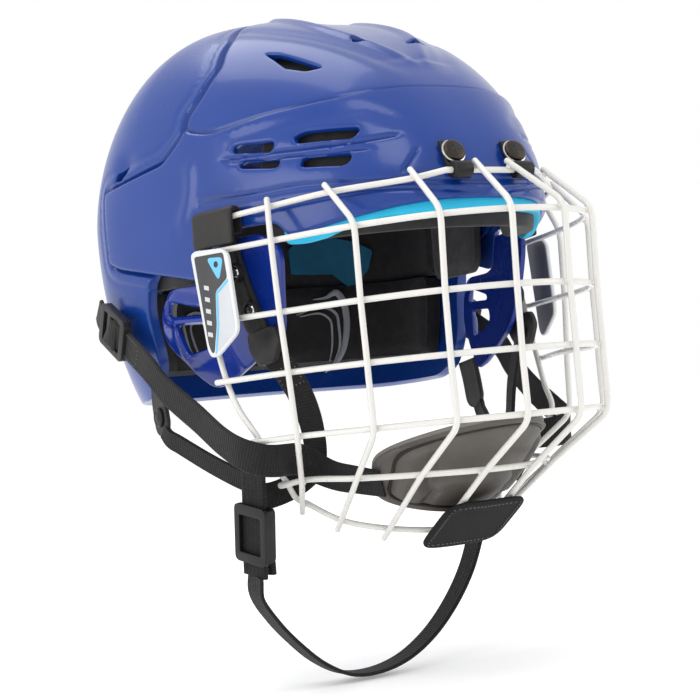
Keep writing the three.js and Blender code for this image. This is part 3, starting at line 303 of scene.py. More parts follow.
def in_poly(P, poly):
    x, y = P[:, 0], P[:, 1]; px, py = poly[:, 0], poly[:, 1]; qx, qy = np.roll(px, -1), np.roll(py, -1)
    inside = np.zeros(len(P), bool)
    for a, b, c, d in zip(px, py, qx, qy):
        if b == d: continue
        t = ((b > y) != (d > y)) & (x < (c - a) * (y - b) / (d - b) + a); inside ^= t
    return inside
def seg_dist(P, A, B):
    """distance from points to segments, and index of the nearest"""
    best = np.full(len(P), 1e9); idx = np.zeros(len(P), int); q = np.zeros_like(P)
    for i, (a, b) in enumerate(zip(A, B)):
        ab = b - a; t = np.clip(((P - a) @ ab) / max(ab @ ab, 1e-12), 0, 1); c = a + t[:, None] * ab
        d = np.linalg.norm(P - c, axis=1); k = d < best; best[k] = d[k]; idx[k] = i; q[k] = c[k]
    return best, idx, q
def loop_profile(poly, step=1.6):
    """closed loop (directions) of the surface cut by a side-view polygon, crossing the mid plane"""
    poly = np.array(poly, float); pts = []
    for a, b in zip(poly, np.roll(poly, -1, axis=0)):
        n = max(2, int(np.linalg.norm(b - a) / 0.5)); pts.append(a + (b - a) * np.linspace(0, 1, n, endpoint=False)[:, None])
    pts = np.vstack(pts); _, q = side_dir(pts); ins = q < 0.99999
    if ins.all():
        return None
    k = int(np.where(~ins)[0][0]); pts = np.roll(pts, -k, axis=0); ins = np.roll(ins, -k)
    runs = []; i = 0
    while i < len(ins):
        if ins[i]:
            j = i
            while j < len(ins) and ins[j]: j += 1
            runs.append((i, j)); i = j
        else: i += 1
    i, j = max(runs, key=lambda r: r[1] - r[0])
    run = pts[i:j]
    def cross(a, b):
        for _ in range(30):
            mdl = (a + b) / 2
            if side_dir(mdl)[1][0] < 1: a = mdl
            else: b = mdl
        return a
    s = cross(run[0], pts[(i - 1) % len(pts)]); e = cross(run[-1], pts[j % len(pts)])
    run = np.vstack([s, run, e])
    D, _ = side_dir(run); D[0, 0] = 0; D[-1, 0] = 0
    P = dome_dir(D)
    # even spacing on the surface
    ds = np.r_[0, np.cumsum(np.linalg.norm(np.diff(P, axis=0), axis=1))]; n = max(8, int(ds[-1] / step)); t = np.linspace(0, ds[-1], n)
    D = unit(np.stack([np.interp(t, ds, D[:, c]) for c in range(3)], 1)); D[0, 0] = 0; D[-1, 0] = 0
    return np.vstack([D, mirror(D[1:-1][::-1])])
def loop_side(poly, side, step=1.6):
    poly = np.array(poly, float); P = np.vstack([poly, poly[:1]]); P = resample(P, step)[:-1]
    return side_dir(P, side)[0]
def smooth_poly(poly, r=2.0, n=4):
    """round the corners of a closed polygon"""
    poly = np.array(poly, float); out = []
    for i in range(len(poly)):
        p, a, b = poly[i], poly[i - 1], poly[(i + 1) % len(poly)]
        ra = min(r, np.linalg.norm(a - p) * 0.45); rb = min(r, np.linalg.norm(b - p) * 0.45)
        s = p + unit(a - p) * ra; e = p + unit(b - p) * rb
        for k in range(n + 1):
            t = k / n; out.append((1 - t) ** 2 * s + 2 * t * (1 - t) * p + t * t * e)
    return np.array(out)
def sm(a, b, x):
    t = np.clip((x - a) / (b - a), 0, 1); return t * t * (3 - 2 * t)

def patch(chart, outer, holes, spacing, off, thick, disp=None, rnd=1.0, feature_lines=(), back=None, inner_disp=None, offsets=(-1.6, -0.8, -0.35, 0, 0.35, 0.8, 1.6)):
    """closed wall on the dome between outer loop and holes; returns verts, faces"""
    uvo = chart.uv(outer); uvh = [chart.uv(h) for h in holes]
    loops = [uvo] + uvh
    pts, edges = [], []
    for lp in loops:
        o = len(pts); n = len(lp); pts += [tuple(p) for p in lp]; edges += [(o + i, o + (i + 1) % n) for i in range(n)]
    allA = np.vstack(loops); allB = np.vstack([np.roll(l, -1, axis=0) for l in loops])
    nb = len(pts)
    extra = []
    for li, lp in enumerate(loops):
        t = np.roll(lp, -1, axis=0) - np.roll(lp, 1, axis=0); t = t / np.linalg.norm(t, axis=1)[:, None]; nn = np.stack([-t[:, 1], t[:, 0]], 1)
        area = 0.5 * np.sum(lp[:, 0] * np.roll(lp[:, 1], -1) - np.roll(lp[:, 0], -1) * lp[:, 1])
        sgn = (1 if area > 0 else -1) * (1 if li == 0 else -1)
        for k in (0.28, 0.75, 1.5): extra.append(lp + nn * sgn * k * min(rnd, 1.4) * 0.8)
    for f in feature_lines:
        u = chart.uv(f); t = np.gradient(u, axis=0); t = t / np.linalg.norm(t, axis=1)[:, None]; nn = np.stack([-t[:, 1], t[:, 0]], 1)
        for k in offsets: extra.append(u + nn * k)
    lo, hi = uvo.min(0), uvo.max(0)
    gx = np.arange(lo[0], hi[0], spacing); gy = np.arange(lo[1], hi[1], spacing * 0.866)
    G = np.array([(x + (spacing / 2 if j % 2 else 0), y) for j, y in enumerate(gy) for x in gx])
    ex = np.vstack(extra)
    def valid(Q, mind):
        k = in_poly(Q, uvo)
        for h in uvh: k &= ~in_poly(Q, h)
        Q = Q[k]; d, _, _ = seg_dist(Q, allA, allB); return Q[d > mind]
    ex = valid(ex, 0.12 * rnd)
    # grid points away from the extra points
    G = valid(G, spacing * 0.55)
    cell = {}
    sz = spacing * 0.6
    for p in ex: cell.setdefault((int(p[0] // sz), int(p[1] // sz)), []).append(p)
    keep = []
    for p in G:
        c = (int(p[0] // sz), int(p[1] // sz)); ok = True
        for dx in (-1, 0, 1):
            for dy in (-1, 0, 1):
                for e in cell.get((c[0] + dx, c[1] + dy), ()):
                    if abs(e[0] - p[0]) + abs(e[1] - p[1]) < sz: ok = False; break
                if not ok: break
            if not ok: break
        if ok: keep.append(p)
    # thin out near-duplicates among extras
    seen = {}; ex2 = []
    for p in ex:
        c = (int(p[0] // 0.22), int(p[1] // 0.22))
        if c in seen: continue
        seen[c] = 1; ex2.append(p)
    pts += [tuple(p) for p in ex2] + [tuple(p) for p in keep]
    v2, e2, f2, ov, oe, of = delaunay_2d_cdt([Vector(p) for p in pts], edges, [], 0, 1e-5)
    V2 = np.array([tuple(v) for v in v2]); T = np.array([tuple(f) for f in f2])
    cen = V2[T].mean(1); k = in_poly(cen, uvo)
    for h in uvh: k &= ~in_poly(cen, h)
    T = T[k]
    used = np.unique(T); remap = -np.ones(len(V2), int); remap[used] = np.arange(len(used)); V2 = V2[used]; T = remap[T]
    D = chart.dir(V2); P = dome_dir(D, off); Nn = dome_normal(D, off)
    # distance to the wall's own edges, in millimetres on the surface
    B3 = [dome_dir(l, off) for l in [outer] + list(holes)]
    A3 = np.vstack(B3); C3 = np.vstack([np.roll(b, -1, axis=0) for b in B3])
    de, _, _ = seg_dist(P, A3, C3)
    h = np.zeros(len(P)) if disp is None else disp(P, D)
    edge = np.where(de < rnd, rnd - np.sqrt(np.maximum(0, rnd**2 - (rnd - de) ** 2)), 0)
    top = P + Nn * (h - edge)[:, None]
    th = thick if not callable(thick) else thick(P, de)
    ih = 0 if inner_disp is None else inner_disp(P, D, de)
    bot = dome_dir(D, off) - Nn * (np.zeros(len(P)) + th - ih + (0 if back is None else 0))[:, None]
    n = len(P); F = [tuple(t) for t in T] + [tuple(n + i for i in t[::-1]) for t in T]
    cnt = {}
    for t in T:
        for a, b in ((t[0], t[1]), (t[1], t[2]), (t[2], t[0])): cnt[(a, b)] = 1
    for (a, b) in list(cnt):
        if (b, a) not in cnt: F.append((b, a, n + a, n + b))
    return np.vstack([top, bot]), F

def poly3(bgs):
    return dome_dir(bg_dir(np.array([b for b, g in bgs]), np.array([g for b, g in bgs])))
def line_feature(bgs, step=1.5):
    """points along a feature, near side, as directions"""
    P = catmull(np.array(bgs, float), 6); D = bg_dir(P[:, 0], P[:, 1]); S = dome_dir(D)
    ds = np.r_[0, np.cumsum(np.linalg.norm(np.diff(S, axis=0), axis=1))]; n = max(4, int(ds[-1] / step)); t = np.linspace(0, ds[-1], n)
    return unit(np.stack([np.interp(t, ds, D[:, c]) for c in range(3)], 1))
def signed(P, L):
    """signed distance of points to a surface line (3D points), + on the left seen from outside"""
    Q = P.copy(); Q[:, 0] = -np.abs(Q[:, 0])
    d, i, c = seg_dist(Q, L[:-1], L[1:]); T = unit(L[1:] - L[:-1])[i]; N = unit(c - np.array([0, YC, 0]))
    s = np.sign((np.cross(T, Q - c) * N).sum(1)); along = np.where((i == 0) | (i == len(L) - 2), 1, 0)
    # fade at both ends
    e0 = np.linalg.norm(Q - L[0], axis=1); e1 = np.linalg.norm(Q - L[-1], axis=1)
    return d * s, d, e0, e1

# ------------------------------------------------------------------ shells
VENTS_FRONT = [
    ([(49, -31.6), (45.9, -29.4), (33.6, -24.2), (34.6, -27.6), (38.8, -30.7)], 0.9),
    ([(44.6, -10.3), (42.9, -5.9), (40.8, -7.4), (42.1, -11.3)], 0.8),
    ([(24.3, -48.3), (23.6, -46.5), (19.1, -39.4), (17.1, -40), (17.3, -41.5), (22.1, -48.7)], 1.2),
    ([(17.9, -35.5), (18.1, -33.4), (15.2, -23.9), (14.5, -23.8), (13.3, -25.6), (16.1, -35.4)], 1.2),
    ([(17.4, -48.2), (17.5, -46.9), (13.6, -39.1), (12.1, -39.6), (12.3, -41), (16, -47.9)], 1.0),
    ([(11.9, -35.4), (12.1, -34.3), (10.3, -26.4), (8.9, -27), (8.4, -28.3), (10.3, -35.7)], 1.2)]
VENTS_REAR = [
    ([(129, -71.8), (122.5, -70.6), (102.3, -71.3), (104.9, -73), (115.8, -73.7)], 0.8),
    ([(118, -26), (112, -22), (136, -17), (140, -22)], 2),
    ([(150, -30), (146, -24), (160, -18), (163, -26)], 2)]
FRONT = [(-160, -13.5), (-129, -13.3), (-116, -14.8), (-95, -17.6), (-75, -20.3), (-66, -20.5), (-62, -15), (-58, -13), (-39, -12.4), (-12, -14), (-7, -31), (-3, -33), (24, -27), (60, -19), (70, -15), (70, 22.3), (60, 23), (43, 24.5), (14, 27.5), (4, 34), (-3, 40), (-3, 47), (-10, 57), (-14, 71), (-4, 88), (14, 102), (14, 130), (-160, 130)]
REAR = [(-19, 30), (-18, 8), (-17, -8), (-4, -14), (20, -20), (36, -30), (40, -45), (38, -70), (45, -84), (60, -90), (100, -92), (150, -90), (150, 130), (2, 130), (-2, 104), (-14, 92), (-25, 72), (-21, 56)]

def hole_dirs(bgs, r, side):
    P = np.array(bgs, float)
    ch = Chart(bg_dir(P[:, 0].mean(), P[:, 1].mean())); uv = ch.uv(bg_dir(P[:, 0], P[:, 1])); uv = smooth_poly(uv, r, 3)
    uv = resample(np.vstack([uv, uv[:1]]), 0.9)[:-1]; D = ch.dir(uv)
    return D if side < 0 else mirror(D)

def smooth_profile(poly, r):
    return smooth_poly(poly, r, 4)

bandtop = line_feature([(47.5, -56.9), (44.0, -56.2), (34.8, -51.3), (27.3, -38.1), (23.5, -26.8), (22.4, -16.4), (22.1, -6), (22.1, 0)])
gr1 = line_feature([(22.8, -52.5), (19.5, -47.3), (14.4, -35.0), (12.3, -24.4), (12.0, -15.8)])
gr2 = line_feature([(21.6, -52.1), (17.9, -47.5), (12.9, -35.2), (10.2, -21.7)])
gr3 = line_feature([(27.6, -49.5), (23.2, -40.5), (19.6, -28), (18.6, -22), (15.4, -17.2), (13.0, -12.5)])
diag = line_feature([(9.3, -14.2), (7.3, -16.7), (5.1, -19.0)])
brow1 = line_feature([(9.0, -60.4), (6.6, -49.0), (5.9, -36.2), (5.0, -29.2), (3.9, -15.4), (3.6, 0)])
brow2 = line_feature([(0.6, -51), (2.0, -43), (2.9, -33), (3.0, -22), (2.2, -10), (1.6, 0)])
crease = line_feature([(36, -60.5), (20, -62.5), (4, -66.5), (-10, -70)])
spine = line_feature([(82, -13), (66, -13.5), (52, -12.5), (42, -8.5), (33, -3.0), (27.5, 0)])
spine_lo = line_feature([(70, -27), (58, -24), (47, -19), (38, -14), (30, -8.5), (25.5, -3)])
L3 = {k: dome_dir(v) for k, v in dict(bandtop=bandtop, gr1=gr1, gr2=gr2, gr3=gr3, diag=diag, brow1=brow1, brow2=brow2, crease=crease, spine=spine, spine_lo=spine_lo).items()}
def groove(P, key, depth, w, fade=10.0):
    s, d, e0, e1 = signed(P, L3[key]); f = sm(0, fade, e0) * sm(0, fade, e1) if fade else 1
    return -depth * np.exp(-(d / w) ** 2) * f
def front_disp(P, D):
    h = np.zeros(len(P))
    s, d, e0, e1 = signed(P, L3["bandtop"])
    lo = (P[:, 2] < 60)
    # lower band stands proud of the upper panel, with a fine groove at its foot
    below = np.where(s < 0, 1.0, 0.0) if BAND_SIGN > 0 else np.where(s > 0, 1.0, 0.0)
    h += 1.5 * below * sm(0.0, 1.3, d) * np.exp(-d / 30.0)
    h += -0.7 * np.exp(-(d / 0.9) ** 2)
    h += groove(P, "gr1", 1.5, 0.9, 8) + groove(P, "gr2", 1.2, 0.8, 8) + groove(P, "diag", 1.0, 0.75, 3)
    s3, d3, a3, b3 = signed(P, L3["gr3"]); h += -0.8 * np.exp(-(d3 / 3.5) ** 2) * sm(0, 14, b3) * sm(0, 8, a3)
    sb, db, ab, bb = signed(P, L3["brow1"]); h += -1.2 * np.exp(-(db / 1.6) ** 2)
    h += groove(P, "brow2", 0.9, 1.1, 12)
    sc, dc, ac, bc = signed(P, L3["crease"]); h += 0.9 * np.exp(-(dc / 4.0) ** 2) * sm(0, 12, bc) * sm(0, 10, ac)
    ss, dsp, _, e_end = signed(P, L3["spine"]); h += 1.9 * np.exp(-(dsp / 3.4) ** 2) * sm(0, 22, e_end)
    mid = np.exp(-(P[:, 0] / 15.0) ** 2) * sm(-112, -80, P[:, 1]); h += -0.9 * mid * (P[:, 2] > 60)
    s2, d2, _, e2 = signed(P, L3["spine_lo"]); h += -0.8 * np.exp(-(d2 / 4.5) ** 2) * sm(0, 25, e2)
    # shallow pocket round the side slots
    for (b, g, r) in ((18, -44, 16), (13.5, -30, 17)):
        c = dome_dir(bg_dir(np.array([b]), np.array([g])))[0]; Q = P.copy(); Q[:, 0] = -np.abs(Q[:, 0]); q = Q - c
        h += -0.7 * np.exp(-((q[:, 2] / 9.0) ** 2 + ((q[:, 0] ** 2 + q[:, 1] ** 2) / r ** 2)))
    return h
BAND_SIGN = 1
_t = signed(dome_dir(bg_dir(np.array([10.0]), np.array([-30.0]))), L3["bandtop"])[0][0]
if _t > 0: BAND_SIGN = -1

C_FRONT = Chart((0, -0.8, 0.55)); C_REAR = Chart((0, 0.93, 0.3))
f_loop = loop_profile(smooth_profile(FRONT, 3.0), 1.5)
f_holes = [hole_dirs(p, r, s) for p, r in VENTS_FRONT for s in (-1, 1)]
feat = []
for k, l in (("bandtop", bandtop), ("gr1", gr1), ("gr2", gr2), ("diag", diag), ("brow1", brow1), ("brow2", brow2)):
    feat += [l, mirror(l)]
V, F = patch(C_FRONT, f_loop, f_holes, 1.9, 0.0, 3.0, disp=front_disp, rnd=1.3, feature_lines=feat)
make("shell_front_panel", V, F, M_SHELL, "helmet", ["shell_front"], smooth=42)

F3 = dome_dir(f_loop)
def rear_disp(P, D):
    Q = dome_dir(D, 0.0)
    d, _, _ = seg_dist(Q, F3, np.roll(F3, -1, axis=0))
    uv = C_REAR.uv(D); under = in_poly(uv, C_REAR.uv(f_loop))
    h = np.where(under, 0.0, 3.1 * sm(0.7, 4.2, d))
    h += np.where(under, 0, -0.5 * np.exp(-((d - 9) / 1.1) ** 2))
    ax = np.abs(P[:, 0])
    # two long ribs down the back and a nape step
    back = sm(50, 90, P[:, 1]) * sm(-30, 10, P[:, 2]); h += back * (1.3 * np.exp(-((ax - 30) / 7) ** 2) - 0.8 * np.exp(-((ax - 47) / 5) ** 2))
    h += 0.9 * np.exp(-((P[:, 2] + 40 + 0.12 * (P[:, 1] - 60)) / 3.0) ** 2) * sm(40, 60, P[:, 1])
    h += -1.0 * np.exp(-((P[:, 2] + 47 + 0.12 * (P[:, 1] - 60)) / 2.2) ** 2) * sm(40, 60, P[:, 1])
    # pocket in front of the side vent
    c = dome_dir(bg_dir(np.array([104.0]), np.array([-71.5])))[0]; S = P.copy(); S[:, 0] = -np.abs(S[:, 0]); q = S - c
    h += -1.7 * np.exp(-((q[:, 1] / 9) ** 2 + ((q[:, 2] - 1) / 4.5) ** 2))
    return h
r_loop = loop_profile(smooth_profile(REAR, 5.0), 1.8)
r_holes = [hole_dirs(p, r, s) for p, r in VENTS_REAR for s in (-1, 1)]
seam = [np.vstack([f_loop, f_loop[:1]])]
V, F = patch(C_REAR, r_loop, r_holes, 2.1, -3.6, 2.8, disp=rear_disp, rnd=1.2, feature_lines=seam, offsets=(-5.0, -4.0, -3.2, -2.4, -1.6, -0.8, 0, 0.8, 1.6, 2.4, 3.2, 4.0, 5.0))
make("shell_rear_panel", V, F, M_REAR, "rear_shell", ["shell_rear"], smooth=42)

# ------------------------------------------------------------------ ear guards
EAR = [(-30, -17), (-50, -16.5), (-60, -24), (-60, -32), (-55, -51), (-51, -64), (-43, -70), (-30, -76), (-8, -86), (4.5, -88), (21, -74), (32, -61), (33, -46), (24, -35), (-4, -35.5), (-12, -33), (-16, -17)]
EAR_H = [[(22.6, -41.5), (-2.3, -47.5), (-3, -50.5), (26, -49)], [(21, -54), (-6, -55.6), (-9, -62), (-4, -66.5), (16, -69.5)]]
for side, tag in ((-1, "r"), (1, "l")):
    hl = [loop_side(smooth_poly(h, 2.6, 4), side, 1.3) for h in EAR_H]
    H3 = [dome_dir(h, -2.2) for h in hl]
    def ear_disp(P, D, H3=H3):
        h = np.zeros(len(P))
        for q in H3:
            d, _, _ = seg_dist(P, q, np.roll(q, -1, axis=0)); h += 1.3 * np.exp(-((d - 2.2) / 1.5) ** 2) - 1.1 * np.exp(-((d - 6.0) / 2.2) ** 2)
        h += -1.5 * np.exp(-(((P[:, 1] - 30) ** 2 + (P[:, 2] + 34) ** 2) / 9.0 ** 2))
        h += 0.8 * np.exp(-((P[:, 1] + 16 - 0.25 * (P[:, 2] + 60)) / 3.0) ** 2)
        return h
    V, F = patch(Chart((side, -0.2, -0.5)), loop_side(smooth_poly(EAR, 5, 4), side, 1.6), hl, 1.9, -2.2, 2.6, disp=ear_disp, rnd=1.1)
    make("ear_guard_" + tag + "_moulded", V, F, M_EAR, "helmet", ["ear_guard_" + tag], smooth=42)

# ------------------------------------------------------------------ liners and pads
def pad(name, loop, chart, off, thick, mat, body, rep, spacing=2.6, crown=2.5, rim=6.0, groove_fn=None, mats=None):
    """foam pad: crowned towards the head, rounded at its rim"""
    def idisp(P, D, de):
        h = -crown * sm(0, rim, de) + crown * 0.9
        if groove_fn is not None: h = h + groove_fn(P, de)
        return h
    V, F = patch(chart, loop, [], spacing, off, thick, rnd=1.6, inner_disp=idisp)
    ob = make(name, V, F, mat, body, rep, smooth=55)
    return ob
V, F = patch(Chart((0, -1, 0)), loop_profile(smooth_profile([(-160, -19.8), (-126, -19.8), (-112, -19), (-98, -21), (-85, -24.5), (-74, -25.5), (-64, -24.5), (-64, -4), (-160, -4)], 2.5), 1.8), [], 2.2, -3.4, 4.0, rnd=1.6)
make("brow_liner_strip", V, F, M_CYAN, "helmet", ["brow_liner"])
def quilt(P, de):
    return 0.9 * np.exp(-((np.abs(P[:, 0]) - 26) / 1.8) ** 2) + 0.9 * np.exp(-((P[:, 2] - 4) / 1.6) ** 2)
pad("pad_forehead_foam", loop_profile(smooth_profile([(-160, -28), (-60, -24), (-52, -10), (-52, 34), (-160, 34)], 8), 2.2), Chart((0, -1, 0)), -7.8, 10.5, M_FOAM, "helmet", ["pad_forehead"], groove_fn=quilt)
pad("pad_crown_foam", loop_profile(smooth_profile([(-80, 40), (-44, 52), (-36, 72), (-28, 88), (-20, 96), (-20, 130), (-110, 130), (-110, 40)], 6), 2.6), Chart((0, -0.6, 0.8)), -7.8, 9.5, M_FOAM, "helmet", ["pad_crown"])
TEMPLE = [(-10, 8), (-8, -30), (-2, -37), (50, -36), (55, -30), (55, 6), (40, 12), (-4, 12)]
for side, tag in ((-1, "r"), (1, "l")):
    pad("pad_temple_%s_foam" % tag, loop_side(smooth_poly(TEMPLE, 4, 4), side, 2.0), Chart((side, 0, 0)), -10.2, 6.2, M_FOAM2, "helmet", ["pad_temple_" + tag], crown=2.0)
pad("pad_rear_upper_foam", loop_profile(smooth_profile([(58, -30), (150, -30), (150, 40), (70, 55), (58, 30)], 6), 2.4), Chart((0, 1, 0)), -7.0, 7.4, M_FOAM, "rear_shell", ["pad_rear_upper"], crown=1.6)
TEAL = np.array([(26, 116.3, -4.5), (34.8, 115.6, 2.0), (54, 112.5, 1.7), (66, 107, -1.5), (76, 101.5, -8), (73.1, 103.5, -19.4), (64.0, 107.8, -28.2), (60.5, 109, -28.2), (52.0, 112, -20.0), (26.6, 116.1, -19.0)], float)
for side, tag in ((1, "l"), (-1, "r")):
    tp = resample(np.vstack([TEAL, TEAL[:1]]), 2.0)[:-1]
    if side < 0: tp = mirror(tp)
    V, F = patch(Chart(tuple(inv_dir(tp.mean(0)[None])[0])), inv_dir(tp), [], 2.4, -13.9, 2.1, rnd=0.8)
    make("pad_rear_upper_teal_%s" % tag, V, F, M_TEAL, "rear_shell")
def occ(P, de):
    ax = np.abs(P[:, 0]); return 1.0 * np.exp(-((ax - 62) / 1.8) ** 2) + 1.0 * np.exp(-((ax - 16) / 1.6) ** 2)
pad("pad_occipital_foam", loop_profile(smooth_profile([(62, -80), (150, -80), (150, -31), (62, -31)], 8), 2.2), Chart((0, 0.9, -0.5)), -7.0, 11.0, M_FOAM, "rear_shell", ["pad_occipital"], groove_fn=occ, crown=2.0)

# grey printed bracket lines on the occipital pad
CHEV = [([(37, 109.6, -35.2), (45.1, 108.4, -34.5), (51.8, 107.3, -31.9), (55.0, 105.9, -36.5), (55.6, 103.8, -47.4), (53.2, 102.0, -57.9), (49.0, 100.6, -67.4), (42.0, 99.7, -75.2), (35.5, 99.5, -79.5)], [0.25, 0.9, 2.0, 2.1, 2.0, 1.9, 1.7, 1.2, 0.3]),
        ([(25.2, 110.5, -44.7), (41.7, 109.0, -40.2), (50.0, 106.4, -45.0), (49.6, 104, -52), (48.1, 102.2, -65.5), (42.6, 100.4, -73.4)], [0.3, 0.75, 0.9, 0.9, 0.8, 0.3]),
        ([(27.2, 110.5, -45.9), (40.6, 108.7, -44.5), (45.6, 106.6, -48.3), (44.9, 104.4, -56), (42.9, 102.8, -66.0), (39.8, 101, -72.8)], [0.3, 0.6, 0.7, 0.7, 0.6, 0.3])]
for side in (-1, 1):
    parts = []
    for pts_, wd_ in CHEV:
        q = np.array(pts_, float); q[:, 0] *= side; D = inv_dir(np.array(catmull(q, 8))); w = catmull(np.array(wd_)[:, None], 8)[:, 0]
        Pn = dome_dir(D, -19.5); Nn = dome_normal(D, -19.5); T = unit(np.gradient(Pn, axis=0)); W = np.cross(T, Nn); w = w[:, None]
        rows = [Pn + W * w, Pn + W * w * 0.8 - Nn * 0.5, Pn - W * w * 0.8 - Nn * 0.5, Pn - W * w, Pn - W * w * 0.8 + Nn * 0.6, Pn + W * w * 0.8 + Nn * 0.6]
        Vv = np.stack(rows, 1).reshape(-1, 3); n = len(Pn); parts.append((Vv, sweep_faces(n, 6) + [tuple(range(6))[::-1], tuple((n - 1) * 6 + j for j in range(6))]))
    V, F = merge(parts); make("occipital_lines_%s" % ("r" if side < 0 else "l"), V, F, M_CHEV, "rear_shell", smooth=60)

# ------------------------------------------------------------------ snap strips
STRIP = [(-27, -15), (-34, -14.6), (-42.5, -60), (-40, -64), (-30, -62), (-27, -40)]
def lathe(profile, c, n, seg=28):
    n = unit(np.array(n, float)); a = unit(np.cross(n, [0.13, 0.2, 1.0])); b = np.cross(n, a); V, F = [], []
    for r, h in profile:
        for k in range(seg):
            t = 2 * np.pi * k / seg; V.append(np.array(c) + n * h + r * (a * math.cos(t) + b * math.sin(t)))
    m_ = len(profile)
    for i in range(m_ - 1):
        for k in range(seg): F.append((i * seg + k, i * seg + (k + 1) % seg, (i + 1) * seg + (k + 1) % seg, (i + 1) * seg + k))
    F.append(tuple(range(seg))[::-1]); F.append(tuple((m_ - 1) * seg + k for k in range(seg)))
    return np.array(V), F
def cross_recess(c, n, r, w, depth=0.5):
    """raised-edge cross made of two thin bars, used as the dark slot of a screw; its dark colour is painted shade
    standing in for the shade inside the slot
    """
    n = unit(np.array(n, float)); a = unit(np.cross(n, [1.0, 0.05, 0.02])); b = np.cross(n, a); out = []
    for u_, v_ in ((a, b), (b, a)):
        pts = []
        for s in (-1, 1):
            for x_, y_ in ((-r, -w), (r, -w), (r, w), (-r, w)): pts.append(np.array(c) + u_ * x_ + v_ * y_ + n * depth * s)
        out.append((np.array(pts), [(0, 1, 2, 3), (7, 6, 5, 4), (0, 4, 5, 1), (1, 5, 6, 2), (2, 6, 7, 3), (3, 7, 4, 0)]))
    return merge(out)
for side, tag in ((-1, "r"), (1, "l")):
    lp = loop_side(smooth_poly(STRIP, 3, 4), side, 1.3); B3 = dome_dir(lp, 1.6)
    def sdisp(P, D, B3=B3):
        d, _, _ = seg_dist(P, B3, np.roll(B3, -1, axis=0)); return 0.5 * np.exp(-((d - 2.0) / 1.0) ** 2)
    V, F = patch(Chart((side, -0.3, -0.2)), lp, [], 1.6, 1.6, 2.0, disp=sdisp, rnd=0.8)
    make("snap_strip_%s_moulded" % tag, V, F, M_BLACK, "helmet", ["snap_strip_" + tag])
    for nm in ("upper", "lower"):
        lo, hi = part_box("snap_%s_%s" % (nm, tag)); c = (np.array(lo) + np.array(hi)) / 2 / MM
        D, _ = side_dir([(c[1], c[2])], side); p = dome_dir(D, 2.0)[0]; n = dome_normal(D, 2.0)[0]
        V, F = lathe([(0.2, 0), (4.7, 0), (4.7, 0.8), (4.4, 1.5), (3.7, 1.9), (3.1, 1.7), (2.8, 0.9), (0.2, 0.8)], p, n)
        make("snap_%s_%s_ring" % (nm, tag), V, F, M_SATIN, "helmet", ["snap_%s_%s" % (nm, tag)])
        V, F = lathe([(0.1, 0.8), (2.4, 0.8), (2.4, 1.3), (2.0, 1.7), (0.1, 1.7)], p, n)
        make("snap_%s_%s_core" % (nm, tag), V, F, M_CHROME, "helmet")
        # dark cross bars on the snap core: painted shade standing in for the shade in its slot
        V, F = cross_recess(p + n * 1.72, n, 1.5, 0.28, 0.08); make("snap_%s_%s_slot" % (nm, tag), V, F, M_INK_AND_SLOT_SHADE, "helmet")

# ------------------------------------------------------------------ forehead clips and screws
def solid_profile(poly, x0, x1, bevel=0.6, name="p"):
    """side-view outline (y,z) extruded across x with bevelled edges"""
    bm = bmesh.new(); vs = [bm.verts.new((x0 * MM, y * MM, z * MM)) for y, z in poly]; f = bm.faces.new(vs)
    r = bmesh.ops.extrude_face_region(bm, geom=[f]); bmesh.ops.translate(bm, verts=[e for e in r["geom"] if isinstance(e, bmesh.types.BMVert)], vec=((x1 - x0) * MM, 0, 0))
    bmesh.ops.recalc_face_normals(bm, faces=bm.faces)
    if bevel:
        ed = [e for e in bm.edges if len(e.link_faces) == 2 and e.calc_face_angle(0) > 0.5]
        bmesh.ops.bevel(bm, geom=ed, offset=bevel * MM, segments=3, profile=0.5, affect="EDGES", clamp_overlap=True)
    me = bpy.data.meshes.new(name); bm.to_mesh(me); bm.free(); return me
def add_mesh(name, me, mat, body, rep=(), smooth=35):
    ob = bpy.data.objects.new(name, me); bpy.context.scene.collection.objects.link(ob); me.materials.append(mat)
    me.polygons.foreach_set("use_smooth", [True] * len(me.polygons)); me.set_sharp_from_angle(angle=math.radians(smooth)); finish_piece(ob, body, rep); return ob
HY, HZ, CX, CW = -133.0, -1.6, 16.6, 9.0
clip_poly = [(-122.5, 11.8), (-123.2, 12.9), (-124.4, 13.2), (-125.3, 12.4), (-129.3, 2.6)] + [(HY + 4.0 * math.cos(math.radians(a)), HZ + 4.0 * math.sin(math.radians(a))) for a in range(50, 331, 14)] + [(-128.4, -2.4), (-127.6, -1), (-125.1, 6)]
SN = unit(np.array([0, -0.921, 0.39]))
for side, tag in ((-1, "r"), (1, "l")):
    me = solid_profile(clip_poly, side * CX - CW / 2, side * CX + CW / 2, 0.55, "clip_" + tag)
    add_mesh("forehead_clip_%s_moulded" % tag, me, M_SATIN, "helmet", ["forehead_clip_" + tag])
    c = np.array([side * CX, -127.5, 7.0]) + SN * 0.6
    V, F = lathe([(0.2, 0), (5.9, 0), (6.0, 0.35), (5.9, 0.7), (5.5, 0.9), (0.2, 0.9)], c, SN, 36); make("clip_screw_%s_washer" % tag, V, F, M_CHROME, "helmet")
    V, F = lathe([(0.2, 0.7), (5.3, 0.75), (5.4, 1.3), (5.25, 1.9), (4.8, 2.35), (3.6, 2.65), (0.2, 2.85)], c, SN, 36); make("clip_screw_%s_head" % tag, V, F, M_SCREW, "helmet", ["clip_screw_" + tag])
    # dark cross bars on the screw head: painted shade standing in for the shade in its recess
    V, F = cross_recess(c + SN * 2.75, SN, 2.7, 0.38, 0.12); make("clip_screw_%s_recess" % tag, V, F, M_INK_AND_SLOT_SHADE, "helmet")

